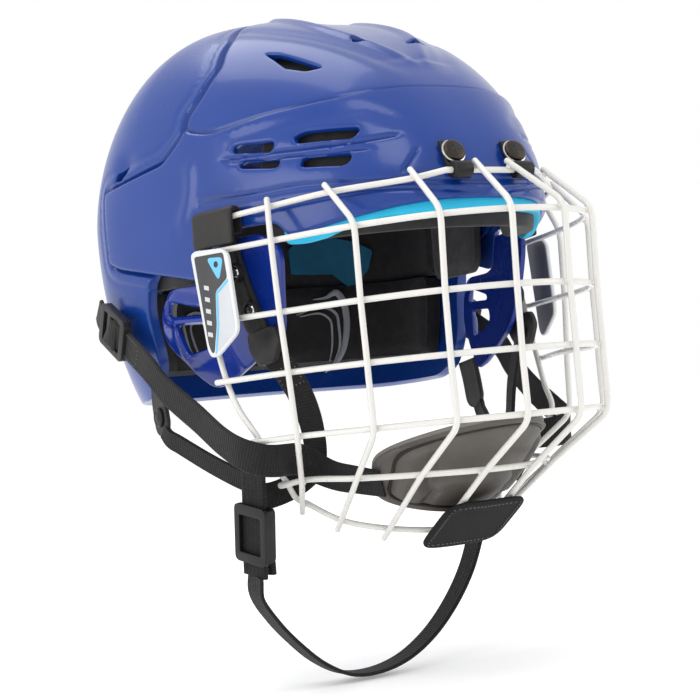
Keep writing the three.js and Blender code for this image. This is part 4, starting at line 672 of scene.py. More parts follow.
# ------------------------------------------------------------------ cage
WR, GAP = 1.4, 0.35; H = WR + GAP / 2
ROWS = [np.array(r, float) for r in (
    [[8.6, -133.0, -1.6], [36, -123.6, -2.4], [62.5, -94.3, -3.8], [77.3, -64.7, -5.6]],
    [[13.5, -161.7, -22.5], [39.5, -147.5, -22.5], [62.8, -115.3, -22.5], [80.4, -71.3, -22.5], [93.2, -19, -22.5]],
    [[13.7, -161.2, -55.5], [39.8, -146.8, -55.5], [62.5, -115.4, -55.5], [79.6, -72.0, -55.5], [93.4, -23.5, -55.5]],
    [[14.0, -160.9, -83], [40.0, -146.6, -83], [62.2, -115.7, -83], [77.8, -71.9, -83.2], [92.4, -32.5, -84]],
    [[13.8, -159.8, -112], [39.6, -145.6, -112], [61.7, -114.7, -112.3], [75.8, -70.9, -113], [86.3, -48.5, -112.6]],
    [[12.9, -121.0, -135.8], [35.4, -104.8, -135.5], [54.2, -81.6, -134.9], [63.2, -47.3, -134.4], [67.2, -35.2, -134.2]])]
TIPS = np.array([[12.1, -76, -165.5], [29.6, -60.5, -163], [46, -46.5, -157.5], [55.8, -31.5, -148.5]])
def outward(n, p): return -n if n @ (p - np.array([0, -40, -60.])) < 0 else n
BOT = np.array([t + (ROWS[5][j] - t) * 4.2 / np.linalg.norm(ROWS[5][j] - t) for j, t in enumerate(TIPS)])
def rown(i, j):
    r = ROWS[i]; a = mirror(r[0]) if j == 0 else r[j - 1]; b = r[min(j + 1, len(r) - 1)]; return unit(b - a)
NR = [[None if j == 4 else outward(unit(np.cross(rown(i, j), unit((BOT[j] if i == 5 else ROWS[i + 1][j]) - (r[j] if i == 0 else ROWS[i - 1][j])))), r[j]) for j in range(len(r))] for i, r in enumerate(ROWS)]
NB = [outward(unit(np.cross(unit(BOT[min(j + 1, 3)] - (mirror(BOT[0]) if j == 0 else BOT[j - 1])), unit(TIPS[j] - ROWS[5][j]))), BOT[j]) for j in range(4)]
def rounded(pts, f=5.5, seg=8):
    pts = [np.array(p, float) for p in pts]; out = [pts[0]]
    for i in range(1, len(pts) - 1):
        P, A, B = pts[i], pts[i - 1], pts[i + 1]; u, w = unit(A - P), unit(B - P); ang = math.pi - math.acos(max(-1, min(1, float(u @ w))))
        if ang < 0.02: out.append(P); continue
        ff = min(f, np.linalg.norm(A - P) * 0.45, np.linalg.norm(B - P) * 0.45)
        md = ((P + u * ff) + P) / 4 + ((P + w * ff) + P) / 4; Q = P + (P - md); s, e = Q + u * ff, Q + w * ff
        for k in range(seg + 1):
            t = k / seg; out.append((s * (1 - t) + Q * t) * (1 - t) + (Q * (1 - t) + e * t) * t)
    out.append(pts[-1]); return np.array(out)
welds = []
for j in range(4):
    t0 = unit(ROWS[0][j] - ROWS[1][j]); p1 = np.array([8.6, HY, HZ]) + NR[0][0] * 2 * H if j == 0 else ROWS[0][j] + NR[0][j] * H
    pts = [p1 + t0 * 2.4] + [ROWS[i][j] + NR[i][j] * H for i in range(1, 6)] + [TIPS[j] + NB[j] * H]
    P = rounded(pts)
    for side, tag in ((1, "l"), (-1, "r")):
        Q = P if side > 0 else mirror(P); V, F = tube_geo(Q, 1.42)
        make("cage_vertical_%s%d_wire" % (tag, j + 1), V, F, M_WIRE, "cage", ["cage_vertical_%s%d" % (tag, j + 1)], smooth=60)
    for i in range(1, 6): welds.append(ROWS[i][j])
    welds.append(BOT[j]); welds.append(ROWS[0][j] if j else np.array([8.6, HY, HZ]) + NR[0][0] * H)
SD = [np.array(v, float) for v in ([0.05, -0.12, -1], [0, -0.22, -1], [-0.2, -0.42, -1], [-0.75, -0.1, -1], [-0.8, 0.45, -0.9])]
NS = []
for k, i in enumerate(range(1, 6)):
    r = ROWS[i]; n = unit(np.cross(unit(r[4] - r[3]), unit(SD[k]))); NS.append(-n if n[0] < 0 else n)
SP = [ROWS[i][4] - NS[k] * H for k, i in enumerate(range(1, 6))]
half = [[91.2, -17.2, -11.6], SP[0], SP[1], SP[2], [89.0, -38.5, -98], SP[3], [76.5, -42.5, -124.5], SP[4], [59.6, -32.2, -142.5]] + [BOT[j] - NB[j] * H for j in (3, 2, 1, 0)]
half = np.array(half); mid = np.array([[0, half[-1][1], half[-1][2]]])
rim = catmull(np.vstack([half, mid, mirror(half[::-1])]), 8)
V, F = tube_geo(rim, 1.42); make("cage_rim_wire_round", V, F, M_WIRE, "cage", ["cage_rim_wire"], smooth=60)
for i in range(6):
    r = np.array([p - NR[i][j] * H for j, p in enumerate(ROWS[i][:4])])
    if i == 0:
        r[0] = [8.6, HY, HZ]; hh = np.vstack([[24, HY + 0.6, HZ - 0.1], r[1:], [[85.2, -42, -7.0], [90.6, -23.5, -7.6]]])
        P = np.vstack([catmull(mirror(hh[::-1]), 8), catmull(hh, 8)])
    else:
        e = ROWS[i][4] + NS[i - 1] * H; th = unit(ROWS[i][4] - ROWS[i][3]); over = [0, 1.2, 1.2, 3.4, 1.4, 1.6][i]
        hh = np.vstack([r, e, e + th * over]); P = catmull(np.vstack([mirror(hh[::-1]), hh]), 8); welds.append(ROWS[i][4])
    V, F = tube_geo(P, 1.42)
    nm = "cage_top_wire" if i == 0 else "cage_row_%d" % (i + 1)
    make(nm + "_round", V, F, M_WIRE, "cage", [nm], smooth=60)
parts = []
for w in welds:
    for s in (1, -1):
        c = np.array(w) * [s, 1, 1]; parts.append(blob(c, 1.1, (1.25, 1.25, 1.25), 10))
V, F = merge(parts); make("cage_weld_beads", V, F, M_WIRE, "cage", smooth=70)

# ------------------------------------------------------------------ corner sleeves
def box_sweep(rings): 
    n = len(rings[0]); V = np.vstack(rings); F = sweep_faces(len(rings), n); F.append(tuple(range(n))[::-1]); F.append(tuple((len(rings) - 1) * n + j for j in range(n))); return V, F
for side, tag in ((1, "l"), (-1, "r")):
    a, b = np.array([84.6, -43.5, -7.0]), np.array([90.6, -22.0, -7.6]); T = unit(np.array([b[0] - a[0], b[1] - a[1], 0])); o = unit(np.array([-T[1] * -1, -T[0], 0]))
    rings = []
    for k, t in enumerate([-0.03, 0.0, 0.03, 0.3, 0.6, 0.9, 1.17, 1.2, 1.23]):
        c = a + (b - a) * t; g = {0: 0.9, 1: 0.35, 7: 0.35, 8: 0.9}.get(k, 0.0)
        sec = [(-2.3, -14.5), (-2.3, -6.4), (-2.0, -5.2), (-1.0, -4.5), (1.4, -4.5), (2.2, -5.0), (2.5, -6.2), (2.5, -19.6), (3.4, -20.2), (4.3, -19.6), (4.5, -12), (4.4, -5.6), (3.9, -3.6), (2.4, -2.4), (0.2, -2.0), (-2.0, -2.3), (-3.2, -3.4), (-3.5, -5.4), (-3.5, -14.5), (-2.9, -15.1)]
        ring = []
        cen = np.array([0.4, -9.0])
        for (p, q) in sec:
            v2 = np.array([p, q]); 
            if p > 2.9 or q > -4 or p < -2.9: v2 = v2 + unit(cen - v2) * g
            ring.append(c * [1, 1, 0] + o * v2[0] + np.array([0, 0, v2[1]]))
        rings.append(np.array(ring))
    V, F = box_sweep(rings)
    # end caps as triangles
    F = [f for f in F if len(f) == 4]
    sec2 = [Vector((float((p - rings[0][0]) @ o), float(p[2]), 0)) for p in rings[0]]; tri = tessellate_polygon([sec2]); n = len(rings[0]); Lr = (len(rings) - 1) * n
    F += [tuple(t) for t in tri] + [tuple(Lr + i for i in t[::-1]) for t in tri]
    if side < 0: V = mirror(V)
    make("corner_sleeve_%s_rubber" % tag, V, F, M_BLACK, "cage", ["corner_sleeve_" + tag], smooth=50)

# ------------------------------------------------------------------ side plates
PLATE = np.array([(-22, -22.8), (-24.6, -21.2), (-43.9, -22.3), (-48, -25.5), (-50.8, -59.5), (-49.5, -63), (-35.2, -72.2), (-30.7, -72.3), (-28.6, -69)], float)
PNORM = unit(np.array([1, -0.27, 0]))
def plate3(yz, lift):
    yz = np.atleast_2d(yz); return np.stack([98.9 + 0.27 * (yz[:, 0] + 19), yz[:, 0], yz[:, 1]], 1) + PNORM * lift
def offset_poly(poly, d):
    poly = np.array(poly, float); a = 0.5 * np.sum(poly[:, 0] * np.roll(poly[:, 1], -1) - np.roll(poly[:, 0], -1) * poly[:, 1]); t = unit(np.roll(poly, -1, axis=0) - np.roll(poly, 1, axis=0)); n = np.stack([-t[:, 1], t[:, 0]], 1) * (1 if a > 0 else -1); return poly + n * d
def slab(poly, levels):
    """stack of outlines: levels = [(inset, lift)...]"""
    rings = [plate3(offset_poly(poly, i), l) for i, l in levels]; n = len(poly); V = np.vstack(rings); F = sweep_faces(len(rings), n)
    tri = tessellate_polygon([[Vector((p[0], p[1], 0)) for p in poly]]); L_ = (len(rings) - 1) * n
    F += [tuple(t) for t in tri] + [tuple(L_ + i for i in t[::-1]) for t in tri]; return V, F
def both_sides(name, VF, mat, rep=None, smooth=35):
    for side, tag in ((1, "l"), (-1, "r")):
        V = VF[0] if side > 0 else mirror(VF[0]); make(name % tag, V, VF[1], mat, "cage", [rep % tag] if rep else (), smooth=smooth)
body = smooth_poly(PLATE, 2.6, 5)
both_sides("side_plate_%s_body", slab(body, [(0.5, 0), (0.0, 0.4), (0.0, 1.5), (0.25, 1.85), (0.7, 2.0)]), M_PLATE, "side_plate_%s")
both_sides("side_plate_%s_back", slab(offset_poly(body, 0.7), [(0.2, -0.22), (0.0, -0.12), (0.0, 0.06)]), M_BACK)
def lerp2(a, b, t): return np.array(a) * (1 - t) + np.array(b) * t
# printed panels, kept abstract: dark field, pale field, blue stripe, rounded triangle
dark = smooth_poly([(-24.8, -24.0), (-45.2, -24.4), (-46.6, -36.5), (-37.8, -42.0), (-36.5, -58.0), (-33.5, -70.4), (-31.6, -70.0), (-30.0, -66)], 1.6, 4)
both_sides("side_plate_%s_dark", slab(dark, [(0.0, 1.9), (0.0, 2.1), (0.15, 2.16)]), M_CHAR)
pale = smooth_poly([(-47.0, -38.8), (-49.2, -59.5), (-48.2, -62.2), (-35.6, -70.4), (-38.6, -58.2), (-39.6, -43.4)], 1.4, 4)
both_sides("side_plate_%s_pale", slab(pale, [(0.0, 1.9), (0.0, 2.1), (0.15, 2.16)]), M_PALE)
stripe = np.array([(-46.8, -36.9), (-47.0, -38.4), (-39.4, -43.1), (-38.3, -58.3), (-35.2, -70.6), (-34.2, -70.9), (-36.9, -58.0), (-38.2, -42.3)])
both_sides("side_plate_%s_stripe", slab(stripe, [(0.0, 1.92), (0.0, 2.13), (0.1, 2.2)]), M_SKY)
tri_ = smooth_poly([(-33.4, -25.6), (-45.2, -26.6), (-41.0, -37.6)], 3.2, 6)
both_sides("side_plate_%s_badge", slab(tri_, [(0.0, 2.05), (0.0, 2.25), (0.15, 2.32)]), M_SKY)
dotp = np.array([(-39.9 + 1.5 * math.cos(a), -29.4 + 1.5 * math.sin(a)) for a in np.linspace(0, 2 * np.pi, 18, endpoint=False)])
both_sides("side_plate_%s_dot", slab(dotp, [(0.0, 2.2), (0.0, 2.38), (0.12, 2.44)]), M_INK_AND_SLOT_SHADE)
bars = merge([slab(np.array([(-30.3, z), (-33.6, z - 0.9), (-33.6, z - 3.0), (-30.3, z - 2.1)]), [(0, 2.1), (0, 2.25), (0.1, 2.3)]) for z in (-38, -43.5, -49, -54.5, -60)])
both_sides("side_plate_%s_ticks", bars, M_PALE)

# ------------------------------------------------------------------ chin flap
tipv = np.array([0, TIPS[0][1] + NB[0][1] * H, TIPS[0][2] + NB[0][2] * H]); dirv = unit(np.array([0, ROWS[5][0][1] - TIPS[0][1], ROWS[5][0][2] - TIPS[0][2]])); nnv = unit(np.array([0, NB[0][1], NB[0][2]]))
def cpt(s, o): p = tipv + dirv * s + nnv * o; return (p[1], p[2])
def flap_leaf():
    """outer leaf: rounded rectangle with a soft raised border, lying outside the wires"""
    nu, nv = 40, 28; top, bot = [], []
    for i in range(nu + 1):
        for j in range(nv + 1):
            u = -1 + 2 * i / nu; v = -1 + 2 * j / nv; k = 5.0
            x = 22 * u; s = 17 + 19.3 * v
            # pull corners in
            r = (abs(u) ** k + abs(v) ** k) ** (1 / k); f = 1 if r == 0 else max(abs(u), abs(v)) / r
            x *= f; s = 17 + (s - 17) * f
            e = 1 - max(abs(u), abs(v)); lip = 0.28 * math.exp(-((e - 0.10) / 0.045) ** 2); edge = 0.8 * (1 - min(1, e / 0.05)) ** 2
            o = 3.0 + 0.7 + lip - edge * 0.5 - 0.0012 * x * x
            p = tipv + dirv * s; q = p + nnv * o; top.append([x, q[1], q[2]]); q2 = p + nnv * (2.15 + edge * 0.3 - 0.0012 * x * x); bot.append([x, q2[1], q2[2]])
    V = np.vstack([top, bot]); n = len(top); F = []
    idx = lambda i, j: i * (nv + 1) + j
    for i in range(nu):
        for j in range(nv):
            a, b, c, d = idx(i, j), idx(i + 1, j), idx(i + 1, j + 1), idx(i, j + 1); F.append((a, b, c, d)); F.append((n + d, n + c, n + b, n + a))
    rimi = [idx(i, 0) for i in range(nu + 1)] + [idx(nu, j) for j in range(1, nv + 1)] + [idx(i, nv) for i in range(nu - 1, -1, -1)] + [idx(0, j) for j in range(nv - 1, 0, -1)]
    for a, b in zip(rimi, rimi[1:] + rimi[:1]): F.append((b, a, n + a, n + b))
    return V, F
V, F = flap_leaf(); make("chin_flap_leaf", V, F, M_FLAP, "cage", ["chin_flap"], smooth=50)
wrap = [cpt(6, 2.1), cpt(0, 2.1), cpt(-1.9, 1.2), cpt(-2.4, -1), cpt(-2.2, -4.2), cpt(-0.8, -5.7), cpt(9, -5.7), cpt(9, -7.0), cpt(-1.4, -7.0), cpt(-3.6, -5), cpt(-4.0, -1), cpt(-3.2, 2.2), cpt(-0.6, 3.6), cpt(6, 3.6)]
add_mesh("chin_flap_wrap", solid_profile(wrap, -9.5, 9.5, 0.35, "flapwrap"), M_FLAP, "cage")
# border stitching on the flap
st = []
for k in range(64):
    a = 2 * np.pi * k / 64; u = math.cos(a); v = math.sin(a); mxx = max(abs(u), abs(v)); u, v = u / mxx * 0.86, v / mxx * 0.80
    if abs(u) > 0.8 and abs(v) > 0.74: u *= 0.97; v *= 0.97
    x = 22 * u; s = 17 + 19.3 * v; p = tipv + dirv * s + nnv * (3.72 - 0.0012 * x * x); d = np.array([1, 0, 0]) if abs(v) > 0.78 else dirv
    st.append(blob([x, p[1], p[2]], 0.32, (2.2, 1, 1) if abs(v) > 0.78 else (1, 1.9, 1.4), 8))
V, F = merge(st); make("chin_flap_stitching", V, F, M_THREAD, "cage", smooth=80)

# ------------------------------------------------------------------ chin cup
def cup_pt(U, v):
    x = 46 * U * (1 - 0.16 * v); rim_ = np.array([-136 + 46 * U * U + 10 * U ** 4, -113 - 9 * U * U]); bt = np.array([-84 + 19 * U * U, -154.5 + 9 * U * U]); s = math.sin(math.pi * v) * 2.2
    p = rim_ + (bt - rim_) * v; return np.array([x, p[0] - s * 0.61, p[1] - s * 0.79])
def cup_n(U, v):
    e = 1e-3; n = unit(np.cross(cup_pt(U + e, v) - cup_pt(U - e, v), cup_pt(U, v + e) - cup_pt(U, v - e))); return n if n[2] > 0 else -n
def cup_patch(name, k, v0, v1, o_lo, o_hi, mat, fn_lo=None, fn_hi=None, nu=84, nv=44, rnd=0.07, rep=(), power=6.0):
    lo, hi = [], []
    for i in range(nu + 1):
        for j in range(nv + 1):
            u = -1 + 2 * i / nu; w = -1 + 2 * j / nv; r = (abs(u) ** power + abs(w) ** power) ** (1 / power); f = 1 if r == 0 else max(abs(u), abs(w)) / r
            U = u * f * k; v = (v0 + v1) / 2 + (v1 - v0) / 2 * w * f; e = 1 - max(abs(u), abs(w)); n = cup_n(U, v); p = cup_pt(U, v)
            ed = (1 - math.sqrt(max(0, 1 - (1 - min(1, e / rnd)) ** 2)))
            half_ = (o_hi - o_lo) / 2; m_ = (o_hi + o_lo) / 2
            a = m_ - half_ * (1 - ed * 0.85) + (fn_lo(u, w, e) if fn_lo else 0) * (1 - ed); b = m_ + half_ * (1 - ed * 0.85) + (fn_hi(u, w, e) if fn_hi else 0) * (1 - ed)
            lo.append(p + n * a); hi.append(p + n * b)
    V = np.vstack([lo, hi]); n_ = len(lo); F = []; idx = lambda i, j: i * (nv + 1) + j
    for i in range(nu):
        for j in range(nv):
            a, b, c, d = idx(i, j), idx(i + 1, j), idx(i + 1, j + 1), idx(i, j + 1); F.append((a, b, c, d)); F.append((n_ + d, n_ + c, n_ + b, n_ + a))
    rimi = [idx(i, 0) for i in range(nu + 1)] + [idx(nu, j) for j in range(1, nv + 1)] + [idx(i, nv) for i in range(nu - 1, -1, -1)] + [idx(0, j) for j in range(nv - 1, 0, -1)]
    for a, b in zip(rimi, rimi[1:] + rimi[:1]): F.append((b, a, n_ + a, n_ + b))
    return make(name, V, F, mat, "chin_cup_body", rep, smooth=60)
def cup_out(u, w, e):  # moulded outer relief, outward is negative: piping, two side lobes, a lower bulge
    g = lambda x, c, k: math.exp(-((x - c) / k) ** 2)
    h = 1.3 * g(e, 0.13, 0.03) - 0.9 * g(e, 0.055, 0.03)
    inn = min(1.0, max(0.0, (e - 0.13) / 0.12))
    h += inn * (2.4 * g(abs(u), 0.60 - 0.10 * w, 0.05) - 1.9 * g(abs(u), 0.76, 0.13))
    h += inn * (2.6 * g(w, 0.08 + 0.22 * u * u, 0.07) * (1.0 / (1.0 + math.exp((abs(u) - 0.58) * 30))) - 2.2 * g(w, 0.48, 0.26) * g(u, 0, 0.45))
    h += inn * 0.7 * (g(w, -0.42, 0.03) * g(u, 0.0, 0.28))
    return h
cup_patch("chin_cup_shell", 1.0, 0.0, 1.0, 0.0, 4.6, M_CUP, fn_lo=cup_out, rep=["chin_cup"])
def cup_loop(e, off, power=6.0, n=160):
    out = []
    for k in range(n):
        a = 2 * math.pi * k / n; u, w = math.cos(a), math.sin(a); mxx = max(abs(u), abs(w)); u, w = u / mxx * (1 - e), w / mxx * (1 - e)
        rr = (abs(u) ** power + abs(w) ** power) ** (1 / power); f = max(abs(u), abs(w)) / rr; U, v = u * f, 0.5 + 0.5 * w * f
        out.append(cup_pt(U, v) + cup_n(U, v) * off)
    return np.array(out + out[:2])
V, F = tube_geo(cup_loop(0.125, 0.75), 0.75, 10); make("chin_cup_piping", V, F, M_BLACK, "chin_cup_body", smooth=70)
V, F = tube_geo(cup_loop(0.01, 2.3), 1.25, 10); make("chin_cup_rim_bead", V, F, M_CUP2, "chin_cup_body", smooth=70)
def pad_hi(u, w, e):
    return 2.6 * min(1, e / 0.35) ** 0.6 - 0.9 * math.exp(-(u / 0.04) ** 2) - 0.9 * math.exp(-((abs(u) - 0.5) / 0.04) ** 2)
ob = cup_patch("chin_pad_foam", 0.84, 0.1, 0.9, 5.0, 8.6, M_CUP2, fn_hi=pad_hi, rep=["chin_pad"], nu=64, nv=36, rnd=0.12, power=4)

# ------------------------------------------------------------------ straps
def strap(name, pts, normals, w, t, mat, body, rep=(), per=10, step=1.3, wfun=None, stitches=(), edge_rib=0.14):
    P = catmull(pts, per); N = catmull(normals, per); s = np.r_[0, np.cumsum(np.linalg.norm(np.diff(P, axis=0), axis=1))]; n = max(6, int(s[-1] / step)); tt = np.linspace(0, s[-1], n)
    P = np.stack([np.interp(tt, s, P[:, k]) for k in range(3)], 1); N = np.stack([np.interp(tt, s, N[:, k]) for k in range(3)], 1)
    T = unit(np.gradient(P, axis=0)); N = unit(N - T * (N * T).sum(1)[:, None]); B = np.cross(T, N)
    us = np.array([-1, -0.97, -0.88, -0.75, -0.5, -0.2, 0.2, 0.5, 0.75, 0.88, 0.97, 1]); prof = t / 2 * np.array([0.35, 0.8, 1.12, 1.0, 0.96, 1, 1, 0.96, 1.0, 1.12, 0.8, 0.35])
    W = np.full(n, w / 2) if wfun is None else np.array([wfun(k / (n - 1)) for k in range(n)]) * w / 2
    rings = []
    for i in range(n):
        up = [P[i] + B[i] * u * W[i] + N[i] * h for u, h in zip(us, prof)]; dn = [P[i] + B[i] * u * W[i] - N[i] * h for u, h in zip(us[::-1], prof[::-1])]; rings.append(np.array(up + dn))
    k = len(rings[0]); V = np.vstack(rings); F = sweep_faces(n, k)
    cap = [(j, j + 1, k - 2 - j, k - 1 - j) for j in range(len(us) - 1)]
    F += [tuple(c)[::-1] for c in cap] + [tuple((n - 1) * k + q for q in c) for c in cap]
    uu = np.r_[us, us[::-1]]; uv = np.stack([np.concatenate([uu * W[i] for i in range(n)]), np.concatenate([np.full(k, tt[i]) for i in range(n)])], 1)
    ob = make(name, V, F, mat, body, rep, smooth=50, uv=uv)
    return ob, (P, T, N, B, tt, W)
def box_stitch(name, info, a, b, body):
    """raised stitch row round a sewn box between strap stations a..b (0..1)"""
    P, T, N, B, tt, W = info; n = len(P); parts = []
    def at(s, u):
        f = s * (n - 1); i = min(int(f), n - 2); r = f - i; return (P[i] * (1 - r) + P[i + 1] * r) + B[i] * u * W[i] + N[i] * 0.95, T[i], B[i]
    L_ = tt[-1] * (b - a); m_ = max(3, int(L_ / 2.2))
    for k in range(m_ + 1):
        for u in (-0.78, 0.78):
            p, T_, B_ = at(a + (b - a) * k / m_, u); parts.append(blob(p, 0.3, (1.3, 1.3, 1.3), 8))
    for k in range(6):
        for s in (a, b):
            p, T_, B_ = at(s, -0.78 + 1.56 * k / 5); parts.append(blob(p, 0.3, (1.3, 1.3, 1.3), 8))
    V, F = merge(parts); make(name, V, F, M_THREAD, body, smooth=80)

CUPS = np.array([[-107.6, 46, -60], [-107, 23, -73], [-104.6, 11, -84], [-99.5, -14, -100], [-97, -36, -112.5], [-94, -49, -118.5], [-88, -55.6, -121.8], [-81, -54.8, -122.8], [-71, -48.6, -123], [-64, -45.4, -123.4], [-57, -45.6, -127.2], [-51.4, -52.5, -135.6]])
CUPN = np.array([[-1, 0, 0], [-1, -0.03, -0.02], [-1, -0.06, -0.05], [-1, -0.12, -0.08], [-0.98, -0.2, -0.12], [-0.88, -0.45, -0.1], [-0.5, -0.86, -0.05], [0.1, -1, -0.05], [0.42, -0.91, -0.05], [0.1, -1, -0.1], [-0.6, -0.75, -0.2], [-0.85, -0.35, -0.3]])
for side, tag in ((-1, "r"), (1, "l")):
    P0 = CUPS if side < 0 else mirror(CUPS); N0 = CUPN if side < 0 else mirror(CUPN)
    E0 = np.vstack([[side * 107.9, 58, -53.4], P0[:-1]]); E1 = np.vstack([N0[:1], N0[:-1]])
    tipx = np.array([[side * 51.0, -56.0, -132.5], [side * 46.3, -68.0, -135.0], [side * 40.3, -80.5, -137.6]]); tipn = np.array([[side * 0.8, -0.5, -0.3], [side * 0.75, -0.5, -0.42], [side * 0.62, -0.55, -0.55]]); E0 = np.vstack([E0, tipx]); E1 = np.vstack([E1, tipn])
    ob, info = strap("cup_strap_%s_web" % tag, E0, E1, 15, 1.7, M_WEB, None, ["cup_strap_" + tag])
    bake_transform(ob)
    box_stitch("cup_strap_%s_stitch" % tag, info, 0.05, 0.13, "cage")

# ladder locks
def frame_solid(name, c, axw, up, w, h, t, windows, mat, body, rep=(), r=3.0, bev=0.7, bow=0.0):
    A = unit(np.array(axw, float)); U = unit(np.array(up, float) - A * (np.array(up) @ A)); N_ = np.cross(A, U)
    outer = smooth_poly(np.array([(-w / 2, -h / 2), (w / 2, -h / 2), (w / 2, h / 2), (-w / 2, h / 2)]), r, 5)
    bm = bmesh.new()
    loops = [outer] + [smooth_poly(np.array([(-ww / 2, y0), (ww / 2, y0), (ww / 2, y1), (-ww / 2, y1)]), 1.0, 3) for ww, y0, y1 in windows]
    flat = [p for l in loops for p in l]; tri = tessellate_polygon([[Vector((p[0], p[1], 0)) for p in l] for l in loops])
    def pos(p, z): q = np.array(c) + A * p[0] + U * p[1] + N_ * (z + bow * (1 - (2 * p[1] / h) ** 2)); return q * MM
    top = [bm.verts.new(pos(p, t / 2)) for p in flat]; bot = [bm.verts.new(pos(p, -t / 2)) for p in flat]
    for a, b, d in tri:
        try: bm.faces.new((top[a], top[b], top[d])); bm.faces.new((bot[d], bot[b], bot[a]))
        except ValueError: pass
    o = 0
    for l in loops:
        k = len(l)
        for i in range(k): bm.faces.new((top[o + i], top[o + (i + 1) % k], bot[o + (i + 1) % k], bot[o + i]))
        o += k
    bmesh.ops.recalc_face_normals(bm, faces=bm.faces)
    ed = [e for e in bm.edges if len(e.link_faces) == 2 and e.calc_face_angle(0) > 0.9]
    bmesh.ops.bevel(bm, geom=ed, offset=bev * MM, segments=3, profile=0.5, affect="EDGES", clamp_overlap=True)
    me = bpy.data.meshes.new(name); bm.to_mesh(me); bm.free(); return add_mesh(name, me, mat, body, rep, smooth=40)
lockUp = unit(np.array([0, 39, 20.0]))
for side, tag in ((-1, "r"), (1, "l")):
    c = np.array([side * 108.3, 60.5, -51.2]); ax_ = np.cross([-1, 0, 0], lockUp) * (1 if side < 0 else -1)
    frame_solid("ladder_lock_%s_frame" % tag, c, ax_, lockUp, 22, 32, 4.4, [(15.5, -11.0, -6.2), (15.5, -2.6, 2.6), (15.5, 6.4, 11.4)], M_SATIN, "cage", ["ladder_lock_" + tag], r=4.0)
    # ribs on the front bar
    st = []
    for k in (-1, 0, 1):
        q = c + np.array([side * 2.3, 0, 0]) + lockUp * (-4.4 + k * 1.2); st.append(tube_geo(np.array([q - ax_ * 8, q + ax_ * 8]), 0.45, 8))
    V, F = merge(st); make("ladder_lock_%s_ribs" % tag, V, F, M_SATIN, "cage")
    # strap tongue threaded through the lock and doubled back
    tg = np.array([[-106.6, 49, -57.4], [-109.8, 56, -53.6], [-111.0, 61, -51.0], [-109.6, 66, -48.4], [-106.4, 71, -45.8]]); tn = np.array([[-1, 0.3, 0], [-1, 0.3, 0.1], [-1, 0, 0], [-1, -0.35, 0], [-1, -0.3, 0]])
    if side > 0: tg, tn = mirror(tg), mirror(tn)
    strap("ladder_lock_%s_tongue" % tag, tg, tn, 14.5, 1.5, M_WEB, "cage", step=1.0)
    tb = np.array([[-108.2, 70.5, -45.6], [-108.6, 75.5, -42.6], [-108.2, 79.8, -37.6]]); tn = np.array([[-1, 0, 0], [-1, 0, 0], [-1, 0.1, 0]])
    if side > 0: tb, tn = mirror(tb), mirror(tn)
    strap("lock_tab_%s_strap" % tag, tb, tn, 14.5, 2.0, M_BLACK, "cage", ["lock_tab_" + tag], step=1.0)

# rear legs, their snap tabs, front legs
SNAPT = np.array([[-95.2, 40, -80], [-96, 38.5, -90], [-96, 36.5, -101.5]])
for side, tag in ((-1, "r"), (1, "l")):
    s_ = lambda a: a if side < 0 else mirror(a)
    strap("leg_snap_%s_tab" % tag, s_(np.vstack([SNAPT, [[-96, 35.2, -106.5]]])), s_(np.array([[-1., 0, 0]] * 4)), 16, 2.4, M_BLACK, "helmet", ["leg_snap_" + tag], step=1.0, wfun=lambda t: 1.0 if t < 0.75 else math.sqrt(max(0.08, 1 - ((t - 0.75) / 0.26) ** 2)))
    c = np.array([side * 97.4, 37.2, -97.5]); n = np.array([side * 1.0, 0, 0])
    V, F = lathe([(0.2, 0), (5.0, 0), (5.1, 0.7), (4.6, 1.3), (3.9, 1.45), (3.4, 1.1), (3.0, 1.2), (2.0, 1.6), (0.2, 1.7)], c, n, 32); make("leg_snap_%s_cap" % tag, V, F, M_SATIN, "helmet")
RL = np.array([[-96.4, 34.5, -104.5], [-95.6, 31, -108.5], [-93.5, 24, -112], [-88.5, 1, -122], [-84, -18, -129.5], [-81.8, -27, -132.5]]); RN = np.array([[-1, 0, 0], [-1, 0, 0], [-1, -0.05, 0], [-1, -0.1, 0], [-1, -0.2, 0], [-1, -0.25, 0]])
strap("rear_leg_r_web", RL, RN, 9.5, 2.4, M_WEB, "helmet", ["rear_leg_r"])
RLL = np.array([[96.4, 34.5, -104.5], [94.5, 30, -109], [91, 22, -113], [82, 4, -122.5], [76, -10, -129], [71.5, -19, -133]]); RNL = mirror(RN)
strap("rear_leg_l_web", RLL, RNL, 9.5, 2.4, M_WEB, "helmet", ["rear_leg_l"])
FLP = np.array([[-73.4, -44, -64], [-72.4, -46, -73], [-67, -46.5, -81], [-58.5, -44.5, -95], [-52, -40.5, -112], [-50.5, -36, -126], [-56, -24.5, -136], [-66, -19.5, -140], [-74.5, -20.5, -140]]); FLN = np.array([[-1, -0.4, 0], [-0.9, -0.6, 0], [-0.8, -0.6, 0.2], [-0.8, -0.6, 0.2], [-0.9, -0.5, 0.1], [-0.9, -0.4, -0.2], [-0.4, -0.8, -0.3], [0, -1, -0.2], [0.2, -1, -0.2]])
ob, info = strap("front_leg_r_web", FLP, FLN, 13, 1.8, M_WEB, "helmet", ["front_leg_r"])
box_stitch("front_leg_r_stitch", info, 0.16, 0.26, "helmet")
FLL = np.array([[73.4, -45.0, -66.5], [73.6, -38.5, -79], [73.5, -31, -96], [72.5, -27.5, -115], [70.8, -24, -130]]); FNL = np.array([[1, -0.5, 0], [1, -0.5, 0], [1, -0.4, 0], [1, -0.4, 0], [1, -0.4, 0]])
strap("front_leg_l_web", FLL, FNL, 13, 1.8, M_WEB, "helmet", ["front_leg_l"])
